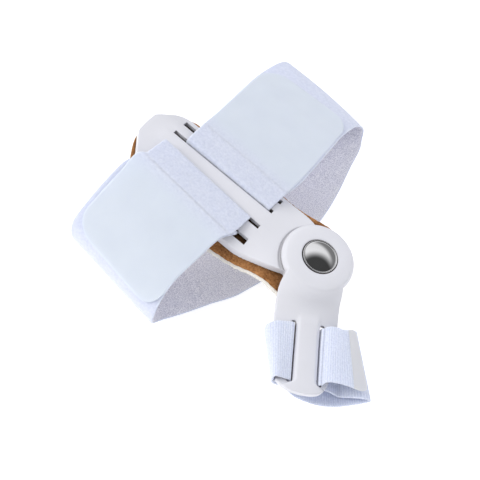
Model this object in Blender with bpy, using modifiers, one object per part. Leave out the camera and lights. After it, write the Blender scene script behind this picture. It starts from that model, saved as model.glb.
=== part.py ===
"""Bunion corrector with a hinged toe arm, modelled as it lies on a table.

The wide foot strap is a flattened loop under the moulded plate and carries its back.
The narrow toe strap is a smaller loop under the arm and carries its tip.
World frame: +X runs along the plate towards the toe, +Y across it, +Z up, in metres.
The origin lies on the flat underside of the foot strap, which rests on the table.
"""
import math

import bmesh
import bpy
from mathutils import Matrix, Vector

# Clearance between pieces that touch on the real object.
GAP = 0.0003

# Where the hinge axis crosses the plate's top, and how the plate leans.
HINGE_AHEAD = 0.050
HINGE_HEIGHT = 0.023
PLATE_PITCH = 17.6
PLATE_ROLL = -4.0

# Foot plate, measured back from the hinge axis and out from the spine.
PLATE_BACK = 0.0921
PLATE_HALF_WIDTH = 0.0180
PLATE_THICKNESS = 0.0020
PLATE_ARCH_RADIUS = 0.0330
HINGE_END_RADIUS = 0.0150
LIP_WIDTH = 0.0016
SLOT_START = 0.0273
SLOT_SPARE = 0.0039
BAR_INNER = 0.0060
BAR_WIDTH = 0.0056
OUTER_SLOT_WIDTH = 0.0030

# Pad under the plate: a suede face over a fleece lining.
PAD_BACK = 0.0925
PAD_HALF_WIDTH = 0.0220
PAD_OFFSET = 0.0006
PAD_TONGUE_AHEAD = 0.0153
PAD_TONGUE_HALF_WIDTH = 0.0205
PAD_SPRING = 0.1
SUEDE_THICKNESS = 0.0010
LINING_THICKNESS = 0.0024

# Wide strap round the foot. Each reach runs from the spine to that side's fold.
STRAP_WIDTH = 0.050
STRAP_THICKNESS = 0.0014
LEFT_REACH = 0.060
RIGHT_REACH = 0.085
HEM_START = 0.0310
SEAM_REACH = 0.0115
LEFT_TAB_REACH = 0.0500
RIGHT_TAB_REACH = 0.0745
TAB_CORNER = 0.0090
TAB_MARGIN = 0.0012

# Hinge boss and rivet.
BOSS_RADIUS = 0.0158
BOSS_HEIGHT = 0.0040
BOSS_ROUND = 0.0022
CAP_RADIUS = 0.0075
CAP_SEAT = 0.0012
CAP_RISE = 0.0027
SHANK_RADIUS = 0.0025
RIVET_TAIL_RADIUS = 0.0045
RIVET_TAIL_THICKNESS = 0.0009

# Toe arm, measured from the hinge axis along the arm and out from its own spine.
ARM_BEND = 58.0
ARM_OFFSET = -0.0006
ARM_LENGTH = 0.0575
ARM_HALF_WIDTH = 0.0134
ARM_THICKNESS = 0.0021
ARM_START_LEVEL = 0.0026
ARM_DROP = 0.0072
ARM_ARCH_RADIUS = 0.045
ARM_SPINE_HALF_WIDTH = 0.0052
ARM_TIP_WEB = 0.0047

# Narrow strap round the toe.
TOE_STRAP_WIDTH = 0.0246
TOE_STRAP_THICKNESS = 0.0013
TOE_SLOT_PLAY = 0.0007
TOE_REACH = 0.020
TOE_END_REACH = 0.0115
TOE_TAB_LENGTH = 0.0065
TOE_TAB_CORNER = 0.0045

# Sizes that follow from the ones above.
STRAP_OFFSET = STRAP_THICKNESS / 2 + GAP
TOE_STRAP_OFFSET = TOE_STRAP_THICKNESS / 2 + GAP
SLOT_LENGTH = STRAP_WIDTH + SLOT_SPARE
INNER_SLOT_WIDTH = STRAP_THICKNESS + 2 * GAP
BAR_OUTER = BAR_INNER + BAR_WIDTH
RAIL_INNER = BAR_OUTER + OUTER_SLOT_WIDTH
PAD_DROP = PLATE_THICKNESS + STRAP_THICKNESS + 3 * GAP
LIP_DEPTH = PAD_DROP - PLATE_THICKNESS - GAP
SPRING_START = PLATE_HALF_WIDTH + GAP
ARM_SLOT_LENGTH = TOE_STRAP_WIDTH + 2 * TOE_SLOT_PLAY
ARM_SLOT_START = ARM_LENGTH - ARM_TIP_WEB - ARM_SLOT_LENGTH
WING_INNER = ARM_SPINE_HALF_WIDTH + TOE_STRAP_THICKNESS + 2 * GAP
ARM_LEVEL = ARM_START_LEVEL - ARM_DROP

# Round ends at the hinge: reach past the axis, half-width and starting angle.
PLATE_NOSE = (HINGE_END_RADIUS, HINGE_END_RADIUS, 120)
PAD_NOSE = (PAD_TONGUE_AHEAD, PAD_TONGUE_HALF_WIDTH, 92)

# Plate outline, back end to hinge: distance back and half-width, as shares.
PLATE_OUTLINE = (
    # back, half_width
    (1.006, 0.28),
    (0.998, 0.36),
    (0.960, 0.62),
    (0.930, 0.83),
    (0.900, 0.95),
    (0.862, 1.00),
    (0.330, 1.00),
    (0.285, 0.975),
    (0.240, 0.935),
    (0.195, 0.895),
    (0.150, 0.85),
    (0.110, 0.79),
)

# Pad outline, back end to tongue: distance back and half-width, as shares.
PAD_OUTLINE = (
    # back, half_width
    (1.004, 0.18),
    (0.994, 0.38),
    (0.970, 0.57),
    (0.945, 0.72),
    (0.910, 0.87),
    (0.870, 0.97),
    (0.820, 1.00),
    (0.420, 1.00),
    (0.315, 0.965),
    (0.250, 0.93),
    (0.190, 0.90),
    (0.130, 0.895),
    (0.070, 0.93),
    (0.035, 0.94),
)

# How the plate and the pad flatten towards the hinge: distance back as a share
# of PLATE_BACK, and the share of the full arch that is left there.
ARCH_FADE = (
    # back, arch
    (1.00, 1.0),
    (0.285, 1.0),
    (0.24, 0.86),
    (0.19, 0.60),
    (0.14, 0.34),
    (0.10, 0.20),
    (-0.30, 0.20),
)

# Arm outline, boss to tip: distance and its two half-widths, as shares.
ARM_OUTLINE = (
    # along, left, right
    (0.10, 0.82, 0.76),
    (0.20, 1.06, 0.92),
    (0.32, 1.07, 0.87),
    (0.43, 1.05, 0.89),
    (0.55, 1.02, 0.91),
    (0.70, 0.98, 0.91),
    (0.86, 0.91, 0.81),
    (0.915, 0.85, 0.72),
    (0.950, 0.72, 0.61),
    (0.978, 0.52, 0.48),
    (0.992, 0.30, 0.28),
    (0.997, 0.08, 0.08),
)

# Arm's side profile by distance from the hinge axis, as shares.
ARM_PROFILE = (
    # along, drop, arch
    (0.000, 0.000, 0.0),
    (0.285, 0.000, 0.0),
    (0.300, 0.140, 0.0),
    (0.340, 0.460, 0.0),
    (0.400, 0.720, 0.25),
    (0.480, 0.905, 0.70),
    (0.580, 0.990, 1.0),
    (1.100, 1.065, 1.0),
)

# Foot strap off the plate. For each hem: side as a share of that side's reach,
# ahead as a share of the strap's width, and lift, 0 on the table to 1 level with
# the plate. The rows run from the slots out, round the fold and in underneath.
LEFT_FOLD = (
    # side, ahead, lift (toe hem), side, ahead, lift (back hem)
    (-0.34, -0.12, 0.91, -0.31, -0.14, 0.93),
    (-0.50, -0.17, 0.81, -0.50, -0.19, 0.85),
    (-0.75, -0.24, 0.65, -0.71, -0.24, 0.71),
    (-0.90, -0.26, 0.48, -0.83, -0.26, 0.62),
    (-0.965, -0.275, 0.30, -0.87, -0.26, 0.50),
    (-0.94, -0.31, 0.12, -0.84, -0.25, 0.37),
    (-0.85, -0.30, 0.02, -0.74, -0.22, 0.23),
    (-0.71, -0.19, 0.00, -0.60, -0.17, 0.10),
    (-0.53, -0.05, 0.00, -0.44, -0.07, 0.02),
    (-0.36, 0.09, 0.00, -0.30, 0.04, 0.00),
    (-0.13, 0.20, 0.00, -0.10, 0.15, 0.00),
)
RIGHT_FOLD = (
    # side, ahead, lift (toe hem), side, ahead, lift (back hem)
    (0.32, 0.06, 0.88, 0.34, 0.09, 0.90),
    (0.63, 0.02, 0.71, 0.63, 0.05, 0.79),
    (0.80, -0.01, 0.58, 0.80, 0.03, 0.70),
    (0.94, 0.00, 0.44, 0.965, 0.05, 0.61),
    (0.99, 0.04, 0.28, 1.03, 0.08, 0.50),
    (0.97, 0.06, 0.11, 1.015, 0.09, 0.36),
    (0.91, 0.10, 0.02, 0.925, 0.10, 0.20),
    (0.78, 0.14, 0.00, 0.76, 0.14, 0.08),
    (0.59, 0.21, 0.00, 0.59, 0.18, 0.01),
    (0.40, 0.25, 0.00, 0.40, 0.21, 0.00),
    (0.14, 0.25, 0.00, 0.14, 0.21, 0.00),
)
# Where the strap is gathered in the slots: toe hem ahead and width, as shares.
LEFT_GATHER = (-0.03, 0.95)
RIGHT_GATHER = (0.045, 0.92)

# Toe strap off the arm. Side is a share of TOE_REACH, ahead of the strap's width,
# and lift runs from 0 on the table to 1 level with the arm.
TOE_LOOP = (
    # side, ahead, lift (tip hem), side, ahead, lift (hinge hem)
    (-0.60, 0.00, 1.06, -0.68, 0.03, 1.03),
    (-0.68, 0.00, 0.84, -0.88, 0.07, 0.86),
    (-0.65, -0.07, 0.46, -0.86, 0.08, 0.48),
    (-0.44, -0.15, 0.06, -0.60, 0.06, 0.10),
    (-0.20, -0.01, 0.00, -0.32, 0.05, 0.00),
    (0.10, 0.09, 0.00, -0.02, 0.08, 0.00),
    (0.40, 0.14, 0.00, 0.30, 0.11, 0.00),
    (0.72, 0.14, 0.00, 0.60, 0.10, 0.00),
    (1.02, 0.10, 0.00, 0.84, 0.04, 0.18),
    (1.30, 0.07, 0.20, 1.00, -0.05, 0.52),
    (1.40, 0.07, 0.56, 1.04, -0.10, 0.84),
    (1.24, 0.07, 0.80, 0.95, -0.08, 0.95),
    (0.94, 0.04, 0.46, 0.80, -0.03, 0.78),
    (0.74, 0.01, 0.24, 0.68, -0.01, 0.56),
)
TOE_FLAP = (
    # side, ahead, lift (tip hem), side, ahead, lift (hinge hem)
    (0.44, 0.00, 1.34, 0.44, 0.00, 1.22),
    (0.62, 0.00, 1.50, 0.60, 0.00, 1.30),
    (0.86, 0.01, 1.58, 0.75, 0.02, 1.32),
    (1.06, 0.02, 1.55, 0.88, 0.00, 1.33),
    (1.26, 0.03, 1.42, 0.98, -0.05, 1.27),
    (1.37, 0.04, 1.18, 1.03, -0.08, 1.16),
)


def make_frame(origin, along, across, up):
    """Matrix of a frame with those three axes."""
    frame = Matrix((along, across, up)).transposed().to_4x4()
    frame.translation = origin
    return frame


def plate_frame():
    """The plate's frame: along the spine to the toe, across it, and square to it."""
    pitch = math.radians(PLATE_PITCH)
    roll = math.radians(PLATE_ROLL)
    along = Vector((math.cos(pitch), 0.0, -math.sin(pitch)))
    level_up = Vector((math.sin(pitch), 0.0, math.cos(pitch)))
    across = math.cos(roll) * Vector((0.0, 1.0, 0.0)) + math.sin(roll) * level_up
    origin = Vector((HINGE_AHEAD, 0.0, HINGE_HEIGHT))
    return make_frame(origin, along, across, along.cross(across))


def arm_frame():
    """The arm's frame: the plate's, turned about the hinge axis by the bend."""
    return plate_frame() @ Matrix.Rotation(-math.radians(ARM_BEND), 4, "Z")


PLATE = plate_frame()
ARM = arm_frame()


def table_value(table, key, column):
    """Value of a column at a key, read straight between the table's rows."""
    rows = sorted(table)
    for low, high in zip(rows, rows[1:]):
        if key <= high[0]:
            share = (max(key, low[0]) - low[0]) / (high[0] - low[0])
            return low[column] + share * (high[column] - low[column])
    return rows[-1][column]


def arch_drop(side, radius):
    """How far an arch of that radius falls at a distance from its crown."""
    side = min(abs(side), 0.95 * radius)
    return radius - math.sqrt(radius * radius - side * side)


def pad_drop(along, side):
    """The same for the pad, whose +Y edge springs out nearly flat past the plate."""
    past = max(side - SPRING_START, 0.0)
    return plate_drop(along, side - past) + PAD_SPRING * past


def plate_drop(along, side):
    """Fall of the plate and pad below the crown at a place in the plate's frame."""
    share = table_value(ARCH_FADE, -along / PLATE_BACK, 1)
    return share * arch_drop(side, PLATE_ARCH_RADIUS)


def arm_level(along, side):
    """Height of the arm's top in its own frame."""
    distance = math.hypot(along, side) / ARM_LENGTH
    drop = ARM_DROP * table_value(ARM_PROFILE, distance, 1)
    share = table_value(ARM_PROFILE, distance, 2)
    return ARM_START_LEVEL - drop - share * arch_drop(side, ARM_ARCH_RADIUS)


def arc(centre, radius, start, end, steps):
    """Points on an arc in a plane, from one angle to another in degrees."""
    points = []
    for step in range(steps + 1):
        angle = math.radians(start + (end - start) * step / steps)
        points.append((centre[0] + radius * math.cos(angle), centre[1] + radius * math.sin(angle)))
    return points


def material(name, colour, roughness, metallic=0.0):
    """A Principled material in one colour."""
    made = bpy.data.materials.new(name)
    made.use_nodes = True
    shader = made.node_tree.nodes["Principled BSDF"]
    shader.inputs["Base Color"].default_value = (*colour, 1.0)
    shader.inputs["Roughness"].default_value = roughness
    shader.inputs["Metallic"].default_value = metallic
    return made


def add_object(name, mesh, collection):
    """An object of a mesh, in a collection."""
    piece = bpy.data.objects.new(name, mesh)
    collection.objects.link(piece)
    return piece


def outline_mesh(name, points, bottom, top):
    """A closed prism over an outline."""
    mesh = bpy.data.meshes.new(name)
    shape = bmesh.new()
    face = shape.faces.new([shape.verts.new((x, y, bottom)) for x, y in points])
    bmesh.ops.extrude_face_region(shape, geom=[face])
    shape.verts.ensure_lookup_table()
    for vert in shape.verts[len(points):]:
        vert.co.z = top
    bmesh.ops.recalc_face_normals(shape, faces=shape.faces)
    shape.to_mesh(mesh)
    shape.free()
    return mesh


def box_mesh(name, low, high):
    """A closed box between two corners."""
    corners = ((low[0], low[1]), (high[0], low[1]), (high[0], high[1]), (low[0], high[1]))
    return outline_mesh(name, corners, low[2], high[2])


def turned_object(name, profile, steps, collection):
    """A profile of radius and height, turned about Z with a Screw modifier."""
    mesh = bpy.data.meshes.new(name)
    edges = [(index, index + 1) for index in range(len(profile) - 1)]
    mesh.from_pydata([(radius, 0.0, height) for radius, height in profile], edges, [])
    piece = add_object(name, mesh, collection)
    screw = piece.modifiers.new("Turn", "SCREW")
    screw.steps = steps
    screw.render_steps = steps
    screw.use_merge_vertices = True
    screw.merge_threshold = 0.00001
    return piece


def combine(piece, cutter, operation):
    """A Boolean modifier, applied."""
    boolean = piece.modifiers.new(operation.title(), "BOOLEAN")
    boolean.operation = operation
    boolean.solver = "EXACT"
    boolean.object = cutter
    apply_modifiers(piece)


def apply_modifiers(piece):
    """Replace an object's mesh with its evaluated one."""
    bpy.context.view_layer.update()
    graph = bpy.context.evaluated_depsgraph_get()
    made = bpy.data.meshes.new_from_object(piece.evaluated_get(graph))
    made.name = piece.name
    piece.modifiers.clear()
    piece.data = made


def slice_mesh(mesh, axis, places):
    """Cut a mesh's faces along planes square to one axis."""
    shape = bmesh.new()
    shape.from_mesh(mesh)
    normal = Vector((0.0, 0.0, 0.0))
    normal[axis] = 1.0
    for place in places:
        geometry = shape.verts[:] + shape.edges[:] + shape.faces[:]
        bmesh.ops.bisect_plane(shape, geom=geometry, dist=1e-7, plane_co=normal * place, plane_no=normal)
    shape.to_mesh(mesh)
    shape.free()


def finish_mesh(piece):
    """Triangulate, smooth the rounds and keep the corners sharp."""
    shape = bmesh.new()
    shape.from_mesh(piece.data)
    bmesh.ops.remove_doubles(shape, verts=shape.verts, dist=2e-6)
    bmesh.ops.dissolve_degenerate(shape, edges=shape.edges, dist=1e-6)
    bmesh.ops.triangulate(shape, faces=shape.faces)
    shape.to_mesh(piece.data)
    shape.free()
    piece.data.shade_smooth()
    piece.data.set_sharp_from_angle(angle=math.radians(35))


def rounded_outline(table, length, half_width, nose, inset=0.0):
    """Outline from a table, mirrored across the spine, round at the hinge.

    nose gives the round end's reach past the hinge axis, its half-width and the
    angle that it starts at.
    """
    side = []
    for back, half in table:
        side.append((inset - back * length, half * half_width - inset))
    ahead, across, start = nose
    circle = arc((0.0, 0.0), 1.0, start, -start, 24)
    end_arc = [(x * (ahead - inset), y * (across - inset)) for x, y in circle]
    other = [(x, -y) for x, y in reversed(side)]
    return side + end_arc + other


def across_places(half_width):
    """Where the plate and pad are sliced lengthwise before they are arched."""
    return [half_width * step / 8 for step in range(-7, 8)]


def along_places():
    """Where they are sliced crosswise, one for each row of the arch's fade."""
    return [-back * PLATE_BACK for back, _ in ARCH_FADE[1:-1]]


def arch_mesh(mesh, drop):
    """Let each point of a flat mesh fall with an arch."""
    for vert in mesh.vertices:
        vert.co.z -= drop(vert.co.x, vert.co.y)


def make_plate(parts, cutters, finish):
    """Arched foot plate with a lip below its edge and four strap slots."""
    outline = rounded_outline(PLATE_OUTLINE, PLATE_BACK, PLATE_HALF_WIDTH, PLATE_NOSE)
    mesh = outline_mesh("side_plate", outline, -PLATE_THICKNESS - LIP_DEPTH, 0.0)
    plate = add_object("side_plate", mesh, parts)
    inner = rounded_outline(PLATE_OUTLINE, PLATE_BACK, PLATE_HALF_WIDTH, PLATE_NOSE, LIP_WIDTH)
    pocket = outline_mesh("pocket", inner, -2 * PAD_DROP, -PLATE_THICKNESS)
    combine(plate, add_object("pocket", pocket, cutters), "DIFFERENCE")
    slots = (
        (BAR_INNER - INNER_SLOT_WIDTH, BAR_INNER),
        (BAR_OUTER, RAIL_INNER),
    )
    for near, far in slots:
        for side in (-1, 1):
            low = (-SLOT_START - SLOT_LENGTH, min(side * near, side * far), -2 * PAD_DROP)
            high = (-SLOT_START, max(side * near, side * far), PLATE_THICKNESS)
            cutter = add_object("slot_cutter", box_mesh("slot_cutter", low, high), cutters)
            combine(plate, cutter, "DIFFERENCE")
    bore = turned_object("plate_bore", cylinder_profile(SHANK_RADIUS + GAP, -PAD_DROP, PAD_DROP), 16, cutters)
    combine(plate, bore, "DIFFERENCE")
    slice_mesh(plate.data, 1, across_places(PLATE_HALF_WIDTH))
    slice_mesh(plate.data, 0, along_places())
    arch_mesh(plate.data, plate_drop)
    finish_mesh(plate)
    plate.data.materials.append(finish)
    plate.matrix_world = PLATE


def make_pad_layer(name, top, thickness, parts, finish):
    """One layer of the pad, arched like the plate above it."""
    outline = rounded_outline(PAD_OUTLINE, PAD_BACK, PAD_HALF_WIDTH, PAD_NOSE)
    outline = [(x, y + PAD_OFFSET) for x, y in outline]
    mesh = outline_mesh(name, outline, top - thickness, top)
    slice_mesh(mesh, 1, across_places(PAD_HALF_WIDTH) + [SPRING_START])
    slice_mesh(mesh, 0, along_places())
    arch_mesh(mesh, pad_drop)
    layer = add_object(name, mesh, parts)
    finish_mesh(layer)
    layer.data.materials.append(finish)
    layer.matrix_world = PLATE


def cylinder_profile(radius, bottom, top):
    """Profile of a plain cylinder, for a turned cutter."""
    return [(0.0, top), (radius, top), (radius, bottom), (0.0, bottom)]


def boss_profile():
    """Profile of the hinge boss, with its top edge rounded."""
    top = GAP + BOSS_HEIGHT
    rounding = arc((BOSS_RADIUS - BOSS_ROUND, top - BOSS_ROUND), BOSS_ROUND, 90, 0, 5)
    return [(0.0, top)] + rounding + [(BOSS_RADIUS, GAP), (0.0, GAP)]


def arm_outline():
    """Outline of the flat arm, from under the boss to the tip."""
    right = [(along * ARM_LENGTH, half * ARM_HALF_WIDTH) for along, _, half in ARM_OUTLINE]
    left = [(along * ARM_LENGTH, -half * ARM_HALF_WIDTH) for along, half, _ in ARM_OUTLINE]
    return [(x, y + ARM_OFFSET) for x, y in right + left[::-1]]


def arm_slices():
    """Where the arm is sliced before it is bent, along it and across it."""
    along = [ARM_LENGTH * step / 32 for step in range(6, 32)]
    across = [ARM_OFFSET + ARM_HALF_WIDTH * step / 6 for step in range(-5, 6)]
    return along, across


def make_arm(parts, cutters, finish):
    """Toe arm: a bent, arched blade with two slots, one with its hinge boss."""
    mesh = outline_mesh("toe_arm", arm_outline(), -ARM_THICKNESS, 0.0)
    arm = add_object("toe_arm", mesh, parts)
    for side in (-1, 1):
        edges = sorted((ARM_OFFSET + side * ARM_SPINE_HALF_WIDTH, ARM_OFFSET + side * WING_INNER))
        low = (ARM_SLOT_START, edges[0], -2 * ARM_THICKNESS)
        high = (ARM_SLOT_START + ARM_SLOT_LENGTH, edges[1], ARM_THICKNESS)
        cutter = add_object("arm_slot_cutter", box_mesh("arm_slot_cutter", low, high), cutters)
        combine(arm, cutter, "DIFFERENCE")
    along, across = arm_slices()
    slice_mesh(arm.data, 0, along)
    slice_mesh(arm.data, 1, across)
    for vert in arm.data.vertices:
        vert.co.z += arm_level(vert.co.x, vert.co.y - ARM_OFFSET)
    boss = turned_object("boss", boss_profile(), 36, cutters)
    combine(arm, boss, "UNION")
    seat_top = GAP + BOSS_HEIGHT
    bore = turned_object("arm_bore", cylinder_profile(SHANK_RADIUS + GAP, -PAD_DROP, 2 * seat_top), 16, cutters)
    combine(arm, bore, "DIFFERENCE")
    seat_profile = cylinder_profile(CAP_RADIUS + GAP, seat_top - CAP_SEAT, 2 * seat_top)
    seat = turned_object("cap_seat", seat_profile, 32, cutters)
    combine(arm, seat, "DIFFERENCE")
    finish_mesh(arm)
    arm.data.materials.append(finish)
    arm.matrix_world = ARM


def cap_profile():
    """Profile of the rivet: a low dome, its rim, the shank and a flat tail."""
    rim = GAP + BOSS_HEIGHT
    underside = rim - CAP_SEAT + GAP
    height = CAP_RISE - CAP_SEAT
    dome_radius = (CAP_RADIUS ** 2 + height ** 2) / (2 * height)
    half_angle = math.degrees(math.asin(CAP_RADIUS / dome_radius))
    dome = arc((0.0, rim + height - dome_radius), dome_radius, 90, 90 - half_angle, 6)
    tail = -PLATE_THICKNESS - GAP
    return dome + [
        (CAP_RADIUS, underside),
        (SHANK_RADIUS, underside),
        (SHANK_RADIUS, tail),
        (RIVET_TAIL_RADIUS, tail),
        (RIVET_TAIL_RADIUS, tail - RIVET_TAIL_THICKNESS),
        (0.0, tail - RIVET_TAIL_THICKNESS),
    ]


def make_cap(parts, finish):
    """Domed rivet that holds the arm to the plate."""
    cap = turned_object("hinge_cap", cap_profile(), 32, parts)
    apply_modifiers(cap)
    finish_mesh(cap)
    cap.data.materials.append(finish)
    cap.matrix_world = ARM


def hem_pair(frame, front, back, side, level):
    """A pair of hem points at one place of a section, in world space."""
    return frame @ Vector((front, side, level)), frame @ Vector((back, side, level))


def lifted_point(frame, along, side, level, lift, thickness):
    """A point above the table, between it and the level of a tilted frame."""
    point = frame @ Vector((along, side, level))
    floor = thickness / 2
    point.z = floor + lift * (point.z - floor)
    return point


def smooth_rows(rows, steps):
    """Pairs of hem points on smooth curves through the rows."""
    pairs = []
    for index in range(1, len(rows) - 2):
        for step in range(steps):
            pairs.append(tuple(spline_point(rows[index - 1:index + 3], hem, step / steps) for hem in (0, 1)))
    pairs.append(rows[-2])
    return pairs


def spline_point(rows, hem, share):
    """A point on a spline between the second and third of four rows."""
    before, start, end, after = (row[hem] for row in rows)
    leave = (end - before) * 0.5
    arrive = (after - start) * 0.5
    squared = share * share
    cubed = squared * share
    return (
        start * (2 * cubed - 3 * squared + 1)
        + leave * (cubed - 2 * squared + share)
        + end * (3 * squared - 2 * cubed)
        + arrive * (cubed - squared)
    )


def middle(pair):
    """The point midway between two hems."""
    return (pair[0] + pair[1]) / 2


def offset_pairs(pairs, distance, up):
    """The pairs moved square to their surface, to the side that faces up."""
    moved = []
    last = len(pairs) - 1
    for index, (front, back) in enumerate(pairs):
        travel = middle(pairs[min(index + 1, last)]) - middle(pairs[max(index - 1, 0)])
        normal = travel.cross(back - front).normalized()
        if normal.dot(up) < 0:
            normal.negate()
        moved.append((front + normal * distance, back + normal * distance))
    return moved


def stretch(pairs, start, end):
    """The part of a run of pairs between two distances along its middle."""
    taken = []
    travelled = 0.0
    for first, second in zip(pairs, pairs[1:]):
        length = (middle(second) - middle(first)).length
        inside = []
        for mark in (start, end):
            if travelled <= mark < travelled + length:
                share = (mark - travelled) / length
                inside.append(tuple(first[hem].lerp(second[hem], share) for hem in (0, 1)))
        if start < travelled < end:
            taken.append(first)
        taken.extend(inside)
        travelled += length
    return taken


def settle(pairs, thickness):
    """Lift any hem point that a smooth curve has carried below the table."""
    low = thickness / 2
    return [tuple(Vector((hem.x, hem.y, max(hem.z, low))) for hem in pair) for pair in pairs]


def run_length(pairs):
    """Length of a run of pairs along its middle."""
    return sum((middle(second) - middle(first)).length for first, second in zip(pairs, pairs[1:]))


def draw_in(pairs, margin):
    """The pairs with both hems moved in by a margin."""
    drawn = []
    for front, back in pairs:
        inward = (back - front).normalized() * margin
        drawn.append((front + inward, back - inward))
    return drawn


def round_end(pairs, radius):
    """Draw in the hems at the far end, so that its two corners are round."""
    length = run_length(pairs)
    straight = stretch(pairs, 0.0, length - radius)
    rounded = list(straight)
    for degrees in (22, 42, 60, 76, 89):
        reach = radius * math.sin(math.radians(degrees))
        inset = radius * (1 - math.cos(math.radians(degrees)))
        front, back = stretch(pairs, length - radius + reach, 2 * length)[0]
        inward = (back - front).normalized() * inset
        rounded.append((front + inward, back - inward))
    return rounded


def make_band(name, pairs, thickness, columns, parts, finish):
    """A band of cloth: a ruled surface between two hems, made solid."""
    mesh = bpy.data.meshes.new(name)
    shape = bmesh.new()
    grid = []
    for front, back in pairs:
        grid.append([shape.verts.new(front.lerp(back, column / columns)) for column in range(columns + 1)])
    for row, following in zip(grid, grid[1:]):
        for column in range(columns):
            corners = (row[column], row[column + 1], following[column + 1], following[column])
            shape.faces.new(corners)
    shape.to_mesh(mesh)
    shape.free()
    band = add_object(name, mesh, parts)
    solid = band.modifiers.new("Thickness", "SOLIDIFY")
    solid.thickness = thickness
    solid.offset = 0.0
    solid.use_even_offset = True
    apply_modifiers(band)
    finish_mesh(band)
    band.data.materials.append(finish)


def foot_slot_section():
    """Foot strap's path by one pair of slots, from the flap above to below the flap.

    It goes down the inner slot, under the bar and up the outer slot.
    """
    top_inner = -arch_drop(BAR_INNER, PLATE_ARCH_RADIUS)
    bottom_inner = top_inner - PLATE_THICKNESS
    bottom_outer = -arch_drop(BAR_OUTER, PLATE_ARCH_RADIUS) - PLATE_THICKNESS
    rail_top = -arch_drop(RAIL_INNER, PLATE_ARCH_RADIUS)
    turn = STRAP_OFFSET
    leave = OUTER_SLOT_WIDTH - STRAP_OFFSET
    path = arc((BAR_INNER, top_inner), turn, 90, 180, 4)
    path += arc((BAR_INNER, bottom_inner), turn, 180, 262, 4)
    path += arc((BAR_OUTER, bottom_outer), turn, 262, 360, 4)
    path += arc((RAIL_INNER, rail_top), leave, 180, 90, 5)
    return path


def foot_rows(table, reach):
    """Pairs of hem points for one side's rows."""
    rows = []
    for toe_side, toe_ahead, toe_lift, back_side, back_ahead, back_lift in table:
        toe = (toe_ahead * STRAP_WIDTH - HEM_START, toe_side * reach)
        back = ((back_ahead - 1) * STRAP_WIDTH - HEM_START, back_side * reach)
        rows.append((
            lifted_point(PLATE, *toe, 0.0, toe_lift, STRAP_THICKNESS),
            lifted_point(PLATE, *back, 0.0, back_lift, STRAP_THICKNESS),
        ))
    return rows


def foot_side(table, reach, gather, side):
    """One side of the foot strap: the flap, the slots, and the run to the floor."""
    front = gather[0] * STRAP_WIDTH - HEM_START
    back = front - gather[1] * STRAP_WIDTH
    slots = [hem_pair(PLATE, front, back, side * across, level) for across, level in foot_slot_section()]
    rows = foot_rows(table, reach)
    below = smooth_rows([slots[-2], slots[-1]] + rows, 3)
    up = PLATE.to_3x3() @ Vector((0.0, 0.0, 1.0))
    over = offset_pairs(below, STRAP_THICKNESS + GAP, up)
    flap = smooth_rows([slots[1], slots[0], over[1], over[2]], 4)[:-1] + over[1:]
    return flap, slots, below, rows[-1]


def make_foot_strap(parts, strap_finish, tab_finish):
    """Wide strap: one length threaded at both ends, with a smooth tab on each."""
    left = foot_side(LEFT_FOLD, LEFT_REACH, LEFT_GATHER, -1)
    right = foot_side(RIGHT_FOLD, RIGHT_REACH, RIGHT_GATHER, 1)
    left_flap, left_slots, left_below, left_last = left
    right_flap, right_slots, right_below, right_last = right
    bridge = smooth_rows([left_below[-1], left_last, right_last, right_below[-1]], 4)
    run = list(reversed(stretch(left_flap, 0.0, SEAM_REACH)))
    run += left_slots[1:]
    run += left_below[1:]
    run += bridge
    run += list(reversed(right_below))[:-1]
    run += list(reversed(right_slots))
    run += stretch(right_flap, 0.0, SEAM_REACH)[1:]
    make_band("foot_strap", settle(run, STRAP_THICKNESS), STRAP_THICKNESS, 3, parts, strap_finish)
    for name, flap, reach in (
        ("hook_tab_left", left_flap, LEFT_TAB_REACH),
        ("hook_tab_right", right_flap, RIGHT_TAB_REACH),
    ):
        tab = draw_in(stretch(flap, SEAM_REACH + GAP, reach), TAB_MARGIN)
        make_band(name, round_end(tab, TAB_CORNER), STRAP_THICKNESS, 4, parts, tab_finish)


def wing_section(side, reach, along):
    """Toe strap's path by one slot at one hem, from under the wing to over it."""
    top = arm_level(along, WING_INNER)
    under = max(along, ARM_SLOT_START + ARM_SLOT_LENGTH / 2)
    bottom = arm_level(under, WING_INNER) - ARM_THICKNESS
    turn = TOE_STRAP_OFFSET
    path = [(reach, arm_level(under, reach) - ARM_THICKNESS - turn)]
    path += arc((WING_INNER, bottom), turn, 270, 180, 4)
    path += arc((WING_INNER, top), turn, 180, 90, 4)
    return [ARM @ Vector((along, side * across + ARM_OFFSET, level)) for across, level in path]


def wing_pairs(side):
    """The toe strap's hems by one slot."""
    tip = ARM_SLOT_START + ARM_SLOT_LENGTH - GAP
    hinge = tip - TOE_STRAP_WIDTH
    return list(zip(wing_section(side, TOE_END_REACH, tip), wing_section(side, TOE_END_REACH, hinge)))


def toe_rows(table):
    """Pairs of hem points for the toe strap's rows."""
    tip_hem = ARM_SLOT_START + ARM_SLOT_LENGTH - GAP
    rows = []
    for tip_side, tip_ahead, tip_lift, hinge_side, hinge_ahead, hinge_lift in table:
        tip = (tip_hem + tip_ahead * TOE_STRAP_WIDTH, tip_side * TOE_REACH + ARM_OFFSET)
        hinge = (tip_hem + (hinge_ahead - 1) * TOE_STRAP_WIDTH, hinge_side * TOE_REACH + ARM_OFFSET)
        rows.append((
            lifted_point(ARM, *tip, ARM_LEVEL, tip_lift, TOE_STRAP_THICKNESS),
            lifted_point(ARM, *hinge, ARM_LEVEL, hinge_lift, TOE_STRAP_THICKNESS),
        ))
    return rows


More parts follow.
